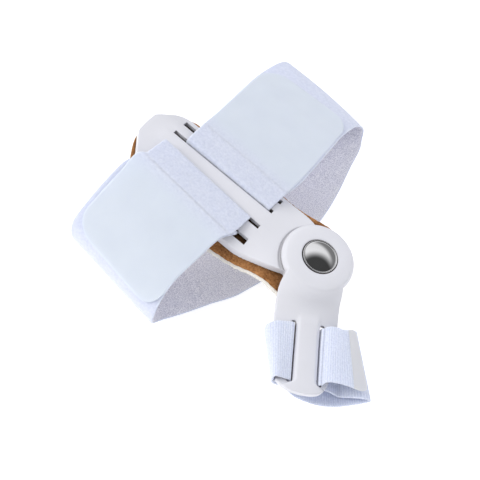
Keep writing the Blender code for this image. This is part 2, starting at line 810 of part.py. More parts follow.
def make_toe_strap(parts, strap_finish, tab_finish):
    """Narrow strap: sewn round the left wing, and doubled back by the right slot."""
    left = wing_pairs(-1)
    right = wing_pairs(1)
    loop = toe_rows(TOE_LOOP)
    flap = toe_rows(TOE_FLAP)
    round_loop = smooth_rows([left[-2], left[-1]] + loop + [right[0], right[1]], 3)
    doubled = smooth_rows([right[-2], right[-1]] + flap + [flap[-1]], 3)
    length = run_length(doubled)
    seam = length - TOE_TAB_LENGTH
    run = left[:-1] + round_loop + right[1:-1] + stretch(doubled, 0.0, seam)
    make_band("toe_strap", settle(run, TOE_STRAP_THICKNESS), TOE_STRAP_THICKNESS, 3, parts, strap_finish)
    tab = round_end(stretch(doubled, seam + GAP, length - GAP), TOE_TAB_CORNER)
    make_band("toe_hook_tab", tab, TOE_STRAP_THICKNESS, 4, parts, tab_finish)


def clear_scene():
    """Remove every object, so that the script starts from nothing."""
    for piece in list(bpy.data.objects):
        bpy.data.objects.remove(piece, do_unlink=True)


def hide_cutters(cutters):
    """Cutters are guides only: wire in the view and never rendered."""
    for cutter in cutters.objects:
        cutter.hide_render = True
        cutter.display_type = "WIRE"


def main():
    """Build the whole bunion corrector."""
    clear_scene()
    parts = bpy.data.collections.new("bunion_corrector")
    cutters = bpy.data.collections.new("cutters")
    for collection in (parts, cutters):
        bpy.context.scene.collection.children.link(collection)
    plastic = material("white_moulded_plastic", (0.80, 0.80, 0.82), 0.28)
    suede = material("tan_faux_suede", (0.42, 0.21, 0.09), 0.90)
    fleece = material("white_fleece", (0.74, 0.71, 0.66), 0.95)
    loop_cloth = material("white_loop_fabric", (0.70, 0.74, 0.86), 0.90)
    hook_tape = material("smooth_hook_tape", (0.72, 0.77, 0.85), 0.55)
    chrome = material("polished_chrome", (0.80, 0.80, 0.80), 0.06, 1.0)
    make_plate(parts, cutters, plastic)
    make_pad_layer("pad_suede", -PAD_DROP, SUEDE_THICKNESS, parts, suede)
    lining_top = -PAD_DROP - SUEDE_THICKNESS - GAP
    make_pad_layer("pad_lining", lining_top, LINING_THICKNESS, parts, fleece)
    make_foot_strap(parts, loop_cloth, hook_tape)
    make_arm(parts, cutters, plastic)
    make_cap(parts, chrome)
    make_toe_strap(parts, loop_cloth, hook_tape)
    hide_cutters(cutters)


main()
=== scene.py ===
"""Bunion corrector lying on a table: plastic plate and toe arm, suede pad, looped straps.

World frame: +X runs along the plate towards the toe, +Y across it, +Z up, in metres.
"""
import math
from itertools import accumulate

import bpy
from mathutils import Matrix, Vector, noise


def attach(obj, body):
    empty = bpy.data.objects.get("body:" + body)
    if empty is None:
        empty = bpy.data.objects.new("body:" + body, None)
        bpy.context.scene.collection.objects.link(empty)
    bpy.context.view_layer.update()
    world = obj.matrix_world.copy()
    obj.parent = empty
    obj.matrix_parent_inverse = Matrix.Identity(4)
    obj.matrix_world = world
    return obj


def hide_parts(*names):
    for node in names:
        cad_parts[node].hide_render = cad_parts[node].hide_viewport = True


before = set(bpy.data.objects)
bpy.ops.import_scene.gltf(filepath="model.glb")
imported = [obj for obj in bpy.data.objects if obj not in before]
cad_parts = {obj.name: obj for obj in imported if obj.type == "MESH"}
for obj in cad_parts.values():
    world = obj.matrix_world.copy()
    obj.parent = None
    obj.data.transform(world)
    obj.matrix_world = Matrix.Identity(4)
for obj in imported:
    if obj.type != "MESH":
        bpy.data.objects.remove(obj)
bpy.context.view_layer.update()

MM = 0.001
FOOT = "foot_frame"
TOE = "toe_frame"

# Camera of the photograph: where it stands, and its right, up and back axes.
CAMERA_PLACE = (0.17369, -0.22068, 0.39662)
CAMERA_RIGHT = (0.8039, 0.5948, 0.0)
CAMERA_UP = (-0.4873, 0.6586, 0.5736)
CAMERA_BACK = (0.3412, -0.4611, 0.8192)
CAMERA_LENS = 81.3
SENSOR_WIDTH = 36.0

# Studio: the two lights, the glow of the table, and where the chrome mirrors a dark side.
KEY_PLACE = (-0.70, -0.50, 0.95)
KEY_SIZE = 0.7
KEY_POWER = 9.5
FILL_PLACE = (0.6, 0.9, 0.9)
FILL_SIZE = 1.0
FILL_POWER = 3.3
LIGHT_AIM = (0.03, 0.0, 0.02)
TABLE_SIZE = 6.0
TABLE_SINK = 0.02 * MM
TABLE_GLOW = 0.4
DARK_SIDE = (0.585, -0.236, 0.776)

# Clearance between neighbouring pieces.
GAP = 0.3 * MM

# Where the hinge axis crosses the plate's top, and how the plate leans, in degrees.
HINGE_AHEAD = 50 * MM
HINGE_HEIGHT = 23 * MM
PLATE_PITCH = 17.6
PLATE_ROLL = -4.0

# Foot plate, measured back from the hinge axis and out from the spine.
PLATE_BACK = 92.1 * MM
PLATE_HALF_WIDTH = 18.0 * MM
PLATE_THICKNESS = 2.0 * MM
PLATE_ARCH_RADIUS = 33.0 * MM
HINGE_END_RADIUS = 15.0 * MM
LIP_WIDTH = 1.6 * MM
SLOT_START = 27.3 * MM
SLOT_LENGTH = 53.9 * MM
BAR_INNER = 6.0 * MM
BAR_OUTER = 11.6 * MM
OUTER_SLOT_WIDTH = 3.0 * MM
RAIL_INNER = BAR_OUTER + OUTER_SLOT_WIDTH

# Pad under the plate.
PAD_BACK = 92.5 * MM
PAD_HALF_WIDTH = 22.0 * MM
PAD_OFFSET = 0.6 * MM
PAD_TONGUE_AHEAD = 15.3 * MM
PAD_TONGUE_HALF_WIDTH = 20.5 * MM
PAD_SPRING = 0.1
SUEDE_THICKNESS = 1.0 * MM
LINING_THICKNESS = 2.4 * MM

# Wide strap. Each reach runs from the spine to that side's fold.
STRAP_WIDTH = 50 * MM
STRAP_THICKNESS = 1.4 * MM
LEFT_REACH = 60 * MM
RIGHT_REACH = 85 * MM
HEM_START = 31 * MM
SEAM_REACH = 11.5 * MM
TAB_END_THICKNESS = 0.75 * MM

# Hinge boss and rivet.
BOSS_RADIUS = 15.8 * MM
BOSS_HEIGHT = 4.0 * MM
BOSS_ROUND = 2.2 * MM
CAP_RADIUS = 7.5 * MM
CAP_SEAT = 1.2 * MM
CAP_RISE = 2.7 * MM

# Toe arm, measured from the hinge axis along the arm and out from its own spine.
ARM_BEND = 58.0
ARM_OFFSET = -0.6 * MM
ARM_LENGTH = 57.5 * MM
ARM_HALF_WIDTH = 13.4 * MM
ARM_THICKNESS = 2.1 * MM
ARM_START_LEVEL = 2.6 * MM
ARM_DROP = 7.2 * MM
ARM_ARCH_RADIUS = 45 * MM
ARM_SPINE_HALF_WIDTH = 5.2 * MM
ARM_SLOT_START = 26.8 * MM
ARM_SLOT_LENGTH = 26.0 * MM

# Narrow strap round the toe.
TOE_STRAP_WIDTH = 24.6 * MM
TOE_STRAP_THICKNESS = 1.3 * MM
TOE_REACH = 20 * MM
TOE_END_REACH = 11.5 * MM
TOE_TAB_LENGTH = 6.5 * MM
TOE_TAB_CORNER = 4.5 * MM

# Sizes that follow from the ones above.
STRAP_OFFSET = STRAP_THICKNESS / 2 + GAP
TOE_STRAP_OFFSET = TOE_STRAP_THICKNESS / 2 + GAP
INNER_SLOT_WIDTH = STRAP_THICKNESS + 2 * GAP
PAD_DROP = PLATE_THICKNESS + STRAP_THICKNESS + 3 * GAP
LIP_DEPTH = PAD_DROP - PLATE_THICKNESS - GAP
WING_INNER = ARM_SPINE_HALF_WIDTH + TOE_STRAP_THICKNESS + 2 * GAP
ARM_LEVEL = ARM_START_LEVEL - ARM_DROP
SLOT_BACK = SLOT_START + SLOT_LENGTH
ARM_SLOT_END = ARM_SLOT_START + ARM_SLOT_LENGTH
SPRING_START = PLATE_HALF_WIDTH + GAP

# Round ends: reach past the hinge axis, half-width, and the angle they start at.
PLATE_NOSE = (HINGE_END_RADIUS, HINGE_END_RADIUS, 120)
PAD_NOSE = (PAD_TONGUE_AHEAD, PAD_TONGUE_HALF_WIDTH, 92)

# Plate outline, back end to hinge: distance back and half-width, as shares.
PLATE_OUTLINE = (
    # back, half_width
    (1.006, 0.28),
    (0.998, 0.36),
    (0.960, 0.62),
    (0.930, 0.83),
    (0.900, 0.95),
    (0.862, 1.00),
    (0.330, 1.00),
    (0.285, 0.975),
    (0.240, 0.935),
    (0.195, 0.895),
    (0.150, 0.85),
    (0.110, 0.79),
)

# Pad outline, back end to tongue: distance back and half-width, as shares.
PAD_OUTLINE = (
    # back, half_width
    (1.004, 0.18),
    (0.994, 0.38),
    (0.970, 0.57),
    (0.945, 0.72),
    (0.910, 0.87),
    (0.870, 0.97),
    (0.820, 1.00),
    (0.420, 1.00),
    (0.315, 0.965),
    (0.250, 0.93),
    (0.190, 0.90),
    (0.130, 0.895),
    (0.070, 0.93),
    (0.035, 0.94),
)

# How the plate and the pad flatten towards the hinge.
ARCH_FADE = (
    # back, arch
    (1.00, 1.0),
    (0.285, 1.0),
    (0.24, 0.86),
    (0.19, 0.60),
    (0.14, 0.34),
    (0.10, 0.20),
    (-0.30, 0.20),
)

# How far out an arch is followed, as a share of its radius, and the stretches over
# which the arch and the arm's profile bend softly, as shares of their lengths.
ARCH_LIMIT = 0.95
ARCH_BLUR = 0.03
ARM_BLUR = 0.035

# Arm outline, boss to tip: distance and its two half-widths, as shares.
ARM_OUTLINE = (
    # along, left, right
    (0.10, 0.82, 0.76),
    (0.20, 1.06, 0.92),
    (0.32, 1.07, 0.93),
    (0.43, 1.05, 0.98),
    (0.55, 1.02, 0.98),
    (0.70, 0.98, 0.91),
    (0.86, 0.91, 0.81),
    (0.915, 0.85, 0.72),
    (0.950, 0.72, 0.61),
    (0.978, 0.52, 0.48),
    (0.992, 0.30, 0.28),
    (0.997, 0.08, 0.08),
)

# Arm's side profile by distance from the hinge axis, as shares.
ARM_PROFILE = (
    # along, drop, arch
    (0.000, 0.000, 0.0),
    (0.285, 0.000, 0.0),
    (0.300, 0.140, 0.0),
    (0.340, 0.460, 0.0),
    (0.400, 0.720, 0.25),
    (0.480, 0.905, 0.70),
    (0.580, 0.990, 1.0),
    (1.100, 1.065, 1.0),
)

# Foot strap off the plate. For each hem: side as a share of that side's reach,
# ahead as a share of the strap's width, and lift, 0 on the table to 1 level with
# the plate. The rows run from the slots out, round the fold and in underneath.
LEFT_FOLD = (
    # side, ahead, lift (toe hem), side, ahead, lift (back hem)
    (-0.34, -0.12, 0.91, -0.31, -0.14, 0.93),
    (-0.50, -0.17, 0.81, -0.50, -0.19, 0.85),
    (-0.75, -0.24, 0.65, -0.71, -0.24, 0.71),
    (-0.90, -0.26, 0.48, -0.83, -0.26, 0.62),
    (-0.965, -0.275, 0.30, -0.87, -0.26, 0.50),
    (-0.94, -0.31, 0.12, -0.84, -0.25, 0.37),
    (-0.85, -0.30, 0.02, -0.74, -0.22, 0.23),
    (-0.71, -0.19, 0.00, -0.60, -0.17, 0.10),
    (-0.53, -0.05, 0.00, -0.44, -0.07, 0.02),
    (-0.36, 0.09, 0.00, -0.30, 0.04, 0.00),
    (-0.13, 0.20, 0.00, -0.10, 0.15, 0.00),
)
RIGHT_FOLD = (
    # side, ahead, lift (toe hem), side, ahead, lift (back hem)
    (0.32, 0.06, 0.88, 0.34, 0.09, 0.90),
    (0.63, 0.02, 0.71, 0.63, 0.05, 0.79),
    (0.80, -0.01, 0.58, 0.80, 0.03, 0.70),
    (0.94, 0.00, 0.44, 0.965, 0.05, 0.61),
    (0.99, 0.04, 0.28, 1.03, 0.08, 0.50),
    (0.97, 0.06, 0.11, 1.015, 0.09, 0.36),
    (0.91, 0.10, 0.02, 0.925, 0.10, 0.20),
    (0.78, 0.14, 0.00, 0.76, 0.14, 0.08),
    (0.59, 0.21, 0.00, 0.59, 0.18, 0.01),
    (0.40, 0.25, 0.00, 0.40, 0.21, 0.00),
    (0.14, 0.25, 0.00, 0.14, 0.21, 0.00),
)
# Where the strap is gathered in the slots: toe hem ahead and width, as shares.
LEFT_GATHER = (-0.03, 0.95)
RIGHT_GATHER = (0.045, 0.92)

# Angle round a bar's lower edges at which the strap leaves one for the other.
BAR_UNDER_ANGLE = 262

# Toe strap off the arm. Side is a share of TOE_REACH, ahead of the strap's width,
# and lift runs from 0 on the table to 1 level with the arm.
TOE_LOOP = (
    # side, ahead, lift (tip hem), side, ahead, lift (hinge hem)
    (-0.60, 0.00, 1.06, -0.68, 0.03, 1.03),
    (-0.68, 0.00, 0.84, -0.88, 0.07, 0.86),
    (-0.65, -0.07, 0.46, -0.86, 0.08, 0.48),
    (-0.44, -0.15, 0.06, -0.60, 0.06, 0.10),
    (-0.20, -0.01, 0.00, -0.32, 0.05, 0.00),
    (0.10, 0.09, 0.00, -0.02, 0.08, 0.00),
    (0.40, 0.14, 0.00, 0.30, 0.11, 0.00),
    (0.72, 0.14, 0.00, 0.60, 0.10, 0.00),
    (1.02, 0.10, 0.00, 0.84, 0.04, 0.18),
    (1.30, 0.07, 0.20, 1.00, -0.05, 0.52),
    (1.40, 0.07, 0.56, 1.04, -0.10, 0.84),
    (1.24, 0.07, 0.80, 0.95, -0.08, 0.95),
    (0.94, 0.04, 0.46, 0.80, -0.03, 0.78),
    (0.74, 0.01, 0.24, 0.68, -0.01, 0.56),
)
TOE_FLAP = (
    # side, ahead, lift (tip hem), side, ahead, lift (hinge hem)
    (0.44, 0.00, 1.34, 0.44, 0.00, 1.22),
    (0.62, 0.00, 1.50, 0.60, 0.00, 1.30),
    (0.86, 0.01, 1.58, 0.75, 0.02, 1.32),
    (1.06, 0.02, 1.55, 0.88, 0.00, 1.33),
    (1.26, 0.03, 1.42, 0.98, -0.05, 1.27),
    (1.37, 0.04, 1.18, 1.03, -0.08, 1.16),
)

# Fineness of the meshes, the angles round a hem's section, how thin a rounded end may
# get, the distance within which points are one, and the sharpest angle shaded smooth.
PLATE_VOXEL = 0.30 * MM
ARM_VOXEL = 0.26 * MM
PAD_VOXEL = 0.50 * MM
CLOTH_STEP = 0.75 * MM
RIB_STEP = 0.20 * MM
STRAP_COLUMNS = 66
TAB_COLUMNS = 60
TOE_STRAP_COLUMNS = 24
ARC_STEPS = 8
DOME_STEPS = 14
NOSE_STEPS = 40
ROUND_STEPS = 96
HEM_ANGLES = (60, 30, 0, -30, -60)
END_SHARE = 0.2
WELD = 0.001 * MM
ROUNDING = 1e-9
SMOOTH_ANGLE = 55

# Relief moulded into the plate. Each edge is where a slope begins and ends.
SPINE_RAISE = 0.15 * MM
BAR_RAISE = 0.20 * MM
COLLAR_RADIUS = BOSS_RADIUS + 0.8 * MM
COLLAR_DEPTH = 0.35 * MM
RELIEF_FRONT = (SLOT_START - 8 * MM, SLOT_START + 2 * MM)
RELIEF_BACK = (SLOT_BACK + 1 * MM, SLOT_BACK + 5 * MM)
SPINE_EDGE = (BAR_INNER - INNER_SLOT_WIDTH - 1.0 * MM, BAR_INNER - INNER_SLOT_WIDTH + 0.4 * MM)
BAR_EDGE = (1.4 * MM, 2.8 * MM)
COLLAR_EDGE = (COLLAR_RADIUS - 0.2 * MM, COLLAR_RADIUS + 0.25 * MM)
CUT_BELOW = 20 * MM
CUT_ABOVE = 5 * MM

# Relief moulded into the arm, its boss and the rivet's rim.
ARM_SPINE_RAISE = 0.9 * MM
ARM_SPINE_START = (ARM_SLOT_START - 4 * MM, ARM_SLOT_START + 1 * MM)
ARM_SPINE_EDGE = (-1.8 * MM, 0.2 * MM)
TIP_START = ARM_SLOT_END - 1.5 * MM
TIP_SPREAD = 9 * MM
SKIRT_RAISE = 0.7 * MM
SKIRT_EDGE = (BOSS_RADIUS - 1.5 * MM, BOSS_RADIUS + 5.0 * MM)
BOSS_FALL = 0.5 * MM
BOSS_SHOULDER = 82
SEAT_ROUND = 0.4 * MM
CAP_LEDGE = 0.55 * MM
CAP_BEAD = 0.22 * MM

# Cloth as it shows: pressed thinner than the room it is given, and folded close.
CLOTH_THICKNESS = 0.95 * MM
TOE_CLOTH_THICKNESS = 0.90 * MM
FLAP_OFFSET = 1.1 * MM

# Light passes a little way through the straps' cloth.
THIN_CLOTH = {
    "Subsurface Weight": 0.5,
    "Subsurface Radius": (1.0, 1.0, 1.1),
    "Subsurface Scale": 1.2 * MM,
}

# How the flap stands off by the slots, in the plate's frame: its toe and back hems.
LEFT_PUFF = (Vector((0.0, 0.3, 0.5)) * MM, Vector((-0.5, 1.7, 3.9)) * MM)
RIGHT_PUFF = (Vector((0.0, 0.0, 0.0)), Vector((0.0, 0.0, 0.8)) * MM)
PUFF_START = 9 * MM
PUFF_REACH = 44 * MM

# How far the flap's back hem is drawn in on each side, and over what stretch.
LEFT_DRAW = 3.2 * MM
RIGHT_DRAW = 0.0
DRAW_START = 6 * MM
DRAW_END = 24 * MM

# The tabs as they lie: reach, lean of the end, margin at the toe hem, and margins at
# the back hem near the slots and at the end.
LEFT_TAB = (56 * MM, 2.0 * MM, 0.0, 0.4 * MM, -1.8 * MM)
RIGHT_TAB = (72.5 * MM, 2.2 * MM, 0.8 * MM, 0.2 * MM, 0.6 * MM)
TAB_END_RADIUS = 11.0 * MM

# Stretches over which a tab narrows to its margins and thins, and the gap at its seam.
TAB_NARROWS = 8 * MM
TAB_THINS = 12 * MM
SEAM_GAP = 0.005 * MM

# How far the right fold bows out between its hems, and over what stretch.
FOLD_BOW = 1.2 * MM
FOLD_BOW_REACH = 12 * MM

# Cloth texture, in real sizes. The pile gives way to the weave between PILE_END and
# WEAVE_START from the slots, and below the plate it is back within SLOT_RUN of the seam.
PILE_HEIGHT = 0.22 * MM
PILE_GRAIN = 1.0 * MM
PILE_END = 10 * MM
WEAVE_START = 20 * MM
SLOT_RUN = 8 * MM
SPECKLE_FADE = 4 * MM
LOOP_HEIGHT = 0.05 * MM
RIB_SPACING = 0.9 * MM
RIB_HEIGHT = 0.07 * MM


def make_frame(origin, along, across, up):
    """Matrix of a frame with those three axes."""
    made = Matrix((along, across, up)).transposed().to_4x4()
    made.translation = origin
    return made


def plate_frame():
    """The plate's frame: along the spine to the toe, across it, and square to it."""
    pitch = math.radians(PLATE_PITCH)
    roll = math.radians(PLATE_ROLL)
    along = Vector((math.cos(pitch), 0.0, -math.sin(pitch)))
    level_up = Vector((math.sin(pitch), 0.0, math.cos(pitch)))
    across = math.cos(roll) * Vector((0.0, 1.0, 0.0)) + math.sin(roll) * level_up
    origin = Vector((HINGE_AHEAD, 0.0, HINGE_HEIGHT))
    return make_frame(origin, along, across, along.cross(across))


PLATE = plate_frame()
ARM = PLATE @ Matrix.Rotation(-math.radians(ARM_BEND), 4, "Z")


def table_value(table, key, column):
    """Value of a column at a key, on an even curve between the table's rows."""
    rows = sorted(table)
    for low, high in zip(rows, rows[1:]):
        if key <= high[0]:
            share = (max(key, low[0]) - low[0]) / (high[0] - low[0])
            return low[column] + share * (high[column] - low[column])
    return rows[-1][column]


def soft_value(table, key, column, blur):
    """A table's value averaged over a short stretch, so that its bends are round."""
    total = 0.0
    for shift in (-1.0, -0.5, 0.0, 0.5, 1.0):
        total += table_value(table, key + shift * blur, column)
    return total / 5


def smooth_step(value, low, high):
    """0 below low, 1 above high, and an even curve between."""
    share = min(max((value - low) / (high - low), 0.0), 1.0)
    return share * share * (3 - 2 * share)


def arch_drop(side, radius):
    """How far an arch of that radius falls at a distance from its crown."""
    side = min(abs(side), ARCH_LIMIT * radius)
    return radius - math.sqrt(radius * radius - side * side)


def plate_drop(along, side):
    """Fall of the plate and pad below the crown at a place in the plate's frame."""
    share = soft_value(ARCH_FADE, -along / PLATE_BACK, 1, ARCH_BLUR)
    return share * arch_drop(side, PLATE_ARCH_RADIUS)


def pad_drop(along, side):
    """Fall of the pad, whose +Y edge springs out nearly flat past the plate."""
    past = max(side - SPRING_START, 0.0)
    return plate_drop(along, side - past) + PAD_SPRING * past


def arm_level(along, side, blur=0.0):
    """Height of the arm's top in its own frame. A blur makes the profile's bends round."""
    distance = math.hypot(along, side) / ARM_LENGTH
    drop = ARM_DROP * soft_value(ARM_PROFILE, distance, 1, blur)
    share = soft_value(ARM_PROFILE, distance, 2, blur)
    return ARM_START_LEVEL - drop - share * arch_drop(side, ARM_ARCH_RADIUS)


def arc(centre, radius, start, end, steps):
    """Points on an arc in a plane, from one angle to another in degrees."""
    points = []
    for step in range(steps + 1):
        angle = math.radians(start + (end - start) * step / steps)
        points.append((centre[0] + radius * math.cos(angle), centre[1] + radius * math.sin(angle)))
    return points


def rounded_corners(points, passes):
    """A closed outline with its corners cut back again and again until they are round."""
    for _ in range(passes):
        cut = []
        for (x, y), (next_x, next_y) in zip(points, points[1:] + points[:1]):
            cut.append((0.75 * x + 0.25 * next_x, 0.75 * y + 0.25 * next_y))
            cut.append((0.25 * x + 0.75 * next_x, 0.25 * y + 0.75 * next_y))
        points = cut
    return points


def table_outline(table, length, half_width, nose, inset=0.0):
    """Outline from a table, mirrored across the spine, round at the hinge."""
    side = []
    for back, half in table:
        side.append((inset - back * length, half * half_width - inset))
    ahead, across, start = nose
    circle = arc((0.0, 0.0), 1.0, start, -start, NOSE_STEPS)
    end_arc = [(x * (ahead - inset), y * (across - inset)) for x, y in circle]
    other = [(x, -y) for x, y in reversed(side)]
    return rounded_corners(side + end_arc + other, 1)


def pick(piece):
    """Make one object the only one that is selected and active."""
    bpy.ops.object.select_all(action="DESELECT")
    piece.select_set(True)
    bpy.context.view_layer.objects.active = piece


def apply_all(piece):
    """Apply an object's modifiers in their order."""
    pick(piece)
    for modifier in list(piece.modifiers):
        bpy.ops.object.modifier_apply(modifier=modifier.name)


def face_out(piece):
    """Turn the normals of a closed piece outward."""
    pick(piece)
    bpy.ops.object.mode_set(mode="EDIT")
    bpy.ops.mesh.select_all(action="SELECT")
    bpy.ops.mesh.normals_make_consistent(inside=False)
    bpy.ops.object.mode_set(mode="OBJECT")


def prism(name, points, top, bottom):
    """A flat outline, added as a circle, laid out and extruded to a closed slab."""
    bpy.ops.mesh.primitive_circle_add(vertices=len(points), radius=1.0, fill_type="NGON")
    piece = bpy.context.object
    piece.name = name
    for vertex, (x, y) in zip(piece.data.vertices, points):
        vertex.co = (x, y, top)
    bpy.ops.object.mode_set(mode="EDIT")
    bpy.ops.mesh.select_all(action="SELECT")
    bpy.ops.mesh.extrude_region_move(TRANSFORM_OT_translate={"value": (0.0, 0.0, bottom - top)})
    bpy.ops.object.mode_set(mode="OBJECT")
    face_out(piece)
    return piece


def block(low, high):
    """A box between two corners, used as a cutter."""
    bpy.ops.mesh.primitive_cube_add(size=1.0)
    piece = bpy.context.object
    for vertex in piece.data.vertices:
        for axis in range(3):
            vertex.co[axis] = high[axis] if vertex.co[axis] > 0 else low[axis]
    return piece


def turned(name, profile):
    """A closed half-profile of radius and height, spun about Z."""
    bpy.ops.mesh.primitive_circle_add(vertices=len(profile), radius=1.0)
    piece = bpy.context.object
    piece.name = name
    for vertex, (radius, height) in zip(piece.data.vertices, profile):
        vertex.co = (radius, 0.0, height)
    bpy.ops.object.mode_set(mode="EDIT")
    bpy.ops.mesh.select_all(action="SELECT")
    bpy.ops.mesh.spin(steps=ROUND_STEPS, angle=math.tau, center=(0.0, 0.0, 0.0), axis=(0.0, 0.0, 1.0))
    bpy.ops.mesh.select_all(action="SELECT")
    bpy.ops.mesh.remove_doubles(threshold=WELD)
    bpy.ops.mesh.dissolve_degenerate(threshold=WELD)
    bpy.ops.object.mode_set(mode="OBJECT")
    face_out(piece)
    return piece


def combine(piece, other, operation):
    """Join or cut one piece with another, which is then removed."""
    modifier = piece.modifiers.new("Combine", "BOOLEAN")
    modifier.operation = operation
    modifier.object = other
    apply_all(piece)
    bpy.data.objects.remove(other, do_unlink=True)


def remesh(piece, voxel, passes):
    """Even quads all over, then smoothed, which rounds every edge by about a voxel."""
    modifier = piece.modifiers.new("Remesh", "REMESH")
    modifier.mode = "VOXEL"
    modifier.voxel_size = voxel
    smooth = piece.modifiers.new("Smooth", "SMOOTH")
    smooth.factor = 0.5
    smooth.iterations = passes
    apply_all(piece)


def finish(piece, material, body, slot, *nodes):
    """Shade a piece smooth but for sharp edges, dress it, tie it to its body, and hide the nodes it
    replaces.
    """
    pick(piece)
    bpy.ops.object.shade_smooth_by_angle(angle=math.radians(SMOOTH_ANGLE))
    piece.data.materials.clear()
    piece.data.materials.append(material)
    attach(piece, body)
    if nodes:
        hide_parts(*nodes)


def place(piece, matrix):
    """Move a piece's mesh to its place, and leave the object at the origin."""
    piece.data.transform(matrix)
    piece.data.update()


def linear(code):
    """An sRGB hex colour as linear values with full alpha."""
    values = []
    for start in (1, 3, 5):
        value = int(code[start:start + 2], 16) / 255
        values.append(value / 12.92 if value <= 0.04045 else ((value + 0.055) / 1.055) ** 2.4)
    return (*values, 1.0)


def add_node(tree, kind, settings=()):
    """A node with its settings, of which each one that is a socket is linked."""
    node = tree.nodes.new(kind)
    for name, value in dict(settings).items():
        if isinstance(value, bpy.types.NodeSocket):
            tree.links.new(value, node.inputs[name])
        elif isinstance(name, int) or name in node.inputs:
            node.inputs[name].default_value = value
        else:
            setattr(node, name, value)
    return node


def cloudy(tree, where, scale, detail, roughness=0.5):
    """Uneven values from a noise at a place."""
    settings = {0: where, "Scale": scale, "Detail": detail, "Roughness": roughness}
    return add_node(tree, "ShaderNodeTexNoise", settings).outputs[0]


def spread(tree, value, low, high, start=0.0, end=1.0, curve="LINEAR"):
    """A value between two limits, spread from start to end."""
    settings = {0: value, "From Min": low, "From Max": high, "To Min": start, "To Max": end}
    settings["interpolation_type"] = curve
    return add_node(tree, "ShaderNodeMapRange", settings).outputs[0]


def blend(tree, share, low, high):
    """A colour between two, each given as a hex colour or a socket."""
    settings = {"data_type": "RGBA", 0: share}
    for index, colour in ((6, low), (7, high)):
        settings[index] = linear(colour) if isinstance(colour, str) else colour
    return add_node(tree, "ShaderNodeMix", settings).outputs[2]


def between(tree, share, low, high):
    """A number between two, each given as a number or a socket."""
    settings = {"data_type": "FLOAT", 0: share, 2: low, 3: high}
    return add_node(tree, "ShaderNodeMix", settings).outputs[0]


def worked(tree, operation, *values):
    """What a sum on numbers or sockets gives."""
    settings = {"operation": operation, **dict(enumerate(values))}
    return add_node(tree, "ShaderNodeMath", settings).outputs[0]


def own_place(tree):
    """Place on a piece, in metres."""
    return add_node(tree, "ShaderNodeTexCoord").outputs["Object"]


def mesh_value(tree, name):
    """A value kept on the mesh's points."""
    return add_node(tree, "ShaderNodeAttribute", {"attribute_name": name}).outputs["Fac"]


def new_material(name, settings):
    """A Principled material with its own settings. Returns it, its tree and its shader."""
    made = bpy.data.materials.new(name)
    made.use_nodes = True
    tree = made.node_tree
    shader = tree.nodes["Principled BSDF"]
    for key, value in settings.items():
        shader.inputs[key].default_value = value
    return made, tree, shader


def paint(tree, shader, colour):
    """A colour for the shader."""
    tree.links.new(colour, shader.inputs["Base Color"])


def bump(tree, shader, height, strength, distance):
    """Relief from a height, on the shader's normal."""
    settings = {"Height": height, "Strength": strength, "Distance": distance}
    node = add_node(tree, "ShaderNodeBump", settings)
    tree.links.new(node.outputs["Normal"], shader.inputs["Normal"])


def moulded_plastic():
    """Injection-moulded white polypropylene: soft gloss, a trace of light below the skin,
    and painted shade, dark brown, in narrow slots and creases, where little light gets out."""
    made, tree, shader = new_material("moulded_white_polypropylene", {
        "Roughness": 0.34,
        "IOR": 1.49,
        "Subsurface Weight": 0.10,
        "Subsurface Radius": (0.9, 0.9, 1.0),
        "Subsurface Scale": 0.8 * MM,
    })
    where = own_place(tree)
    tone = blend(tree, cloudy(tree, where, scale=60.0, detail=3.0), "#D9DAE0", "#E0E1E8")
    # Painted shade: ambient occlusion within 3 mm blends the colour towards dark brown in slots and
    # creases.
    plastic_painted_shade = add_node(tree, "ShaderNodeAmbientOcclusion", {"Distance": 3 * MM})
    unshaded_share = spread(tree, plastic_painted_shade.outputs["AO"], 0.20, 0.58)
    paint(tree, shader, blend(tree, unshaded_share, "#5A4E48", tone))
    grain = cloudy(tree, where, scale=1 / (0.5 * MM), detail=2.0)
    bump(tree, shader, grain, 0.05, 0.05 * MM)
    return made


def chrome():
    """Chrome plate on a pressed steel dome: a clear mirror with the faintest haze."""
    made, tree, shader = new_material("chrome_plated_steel", {
        "Base Color": linear("#EDEDEE"),
        "Metallic": 1.0,
    })
    haze = cloudy(tree, own_place(tree), scale=260.0, detail=4.0)
    tree.links.new(spread(tree, haze, 0.3, 0.8, 0.03, 0.09), shader.inputs["Roughness"])
    return made


def suede():
    """Microfibre suede, brushed: short nap that catches light at the edges, and painted shade
    that darkens it where other pieces crowd it."""
    made, tree, shader = new_material("brushed_microfibre_suede", {
        "Roughness": 0.92,
        "Specular IOR Level": 0.2,
        "Sheen Weight": 0.25,
        "Sheen Roughness": 0.45,
        "Sheen Tint": linear("#E3B98C"),
    })
    where = own_place(tree)
    nap = cloudy(tree, where, scale=1 / (0.9 * MM), detail=5.0, roughness=0.7)
    wide = cloudy(tree, where, scale=1 / (9 * MM), detail=2.0)
    level = spread(tree, worked(tree, "MULTIPLY_ADD", nap, 1.3, wide), 0.85, 1.4)
    tone = blend(tree, level, "#6C411D", "#BE8857")
    # Painted shade: ambient occlusion within 6 mm darkens the colour where other pieces crowd the suede.
    suede_painted_shade = add_node(tree, "ShaderNodeAmbientOcclusion", {"Distance": 6 * MM, "Color": tone})
    paint(tree, shader, suede_painted_shade.outputs["Color"])
    bump(tree, shader, nap, 1.0, 0.45 * MM)
    return made


def fleece():
    """Polyester fleece: thick white pile, uneven and quite matt."""
    made, tree, shader = new_material("white_polyester_fleece", {
        "Roughness": 1.0,
        "Specular IOR Level": 0.1,
        "Sheen Weight": 0.3,
        "Sheen Roughness": 0.6,
    })
    pile = cloudy(tree, own_place(tree), scale=1 / (0.9 * MM), detail=4.0)
    paint(tree, shader, blend(tree, pile, "#D9D3C8", "#F8F6F0"))
    bump(tree, shader, pile, 0.9, 0.35 * MM)
    return made


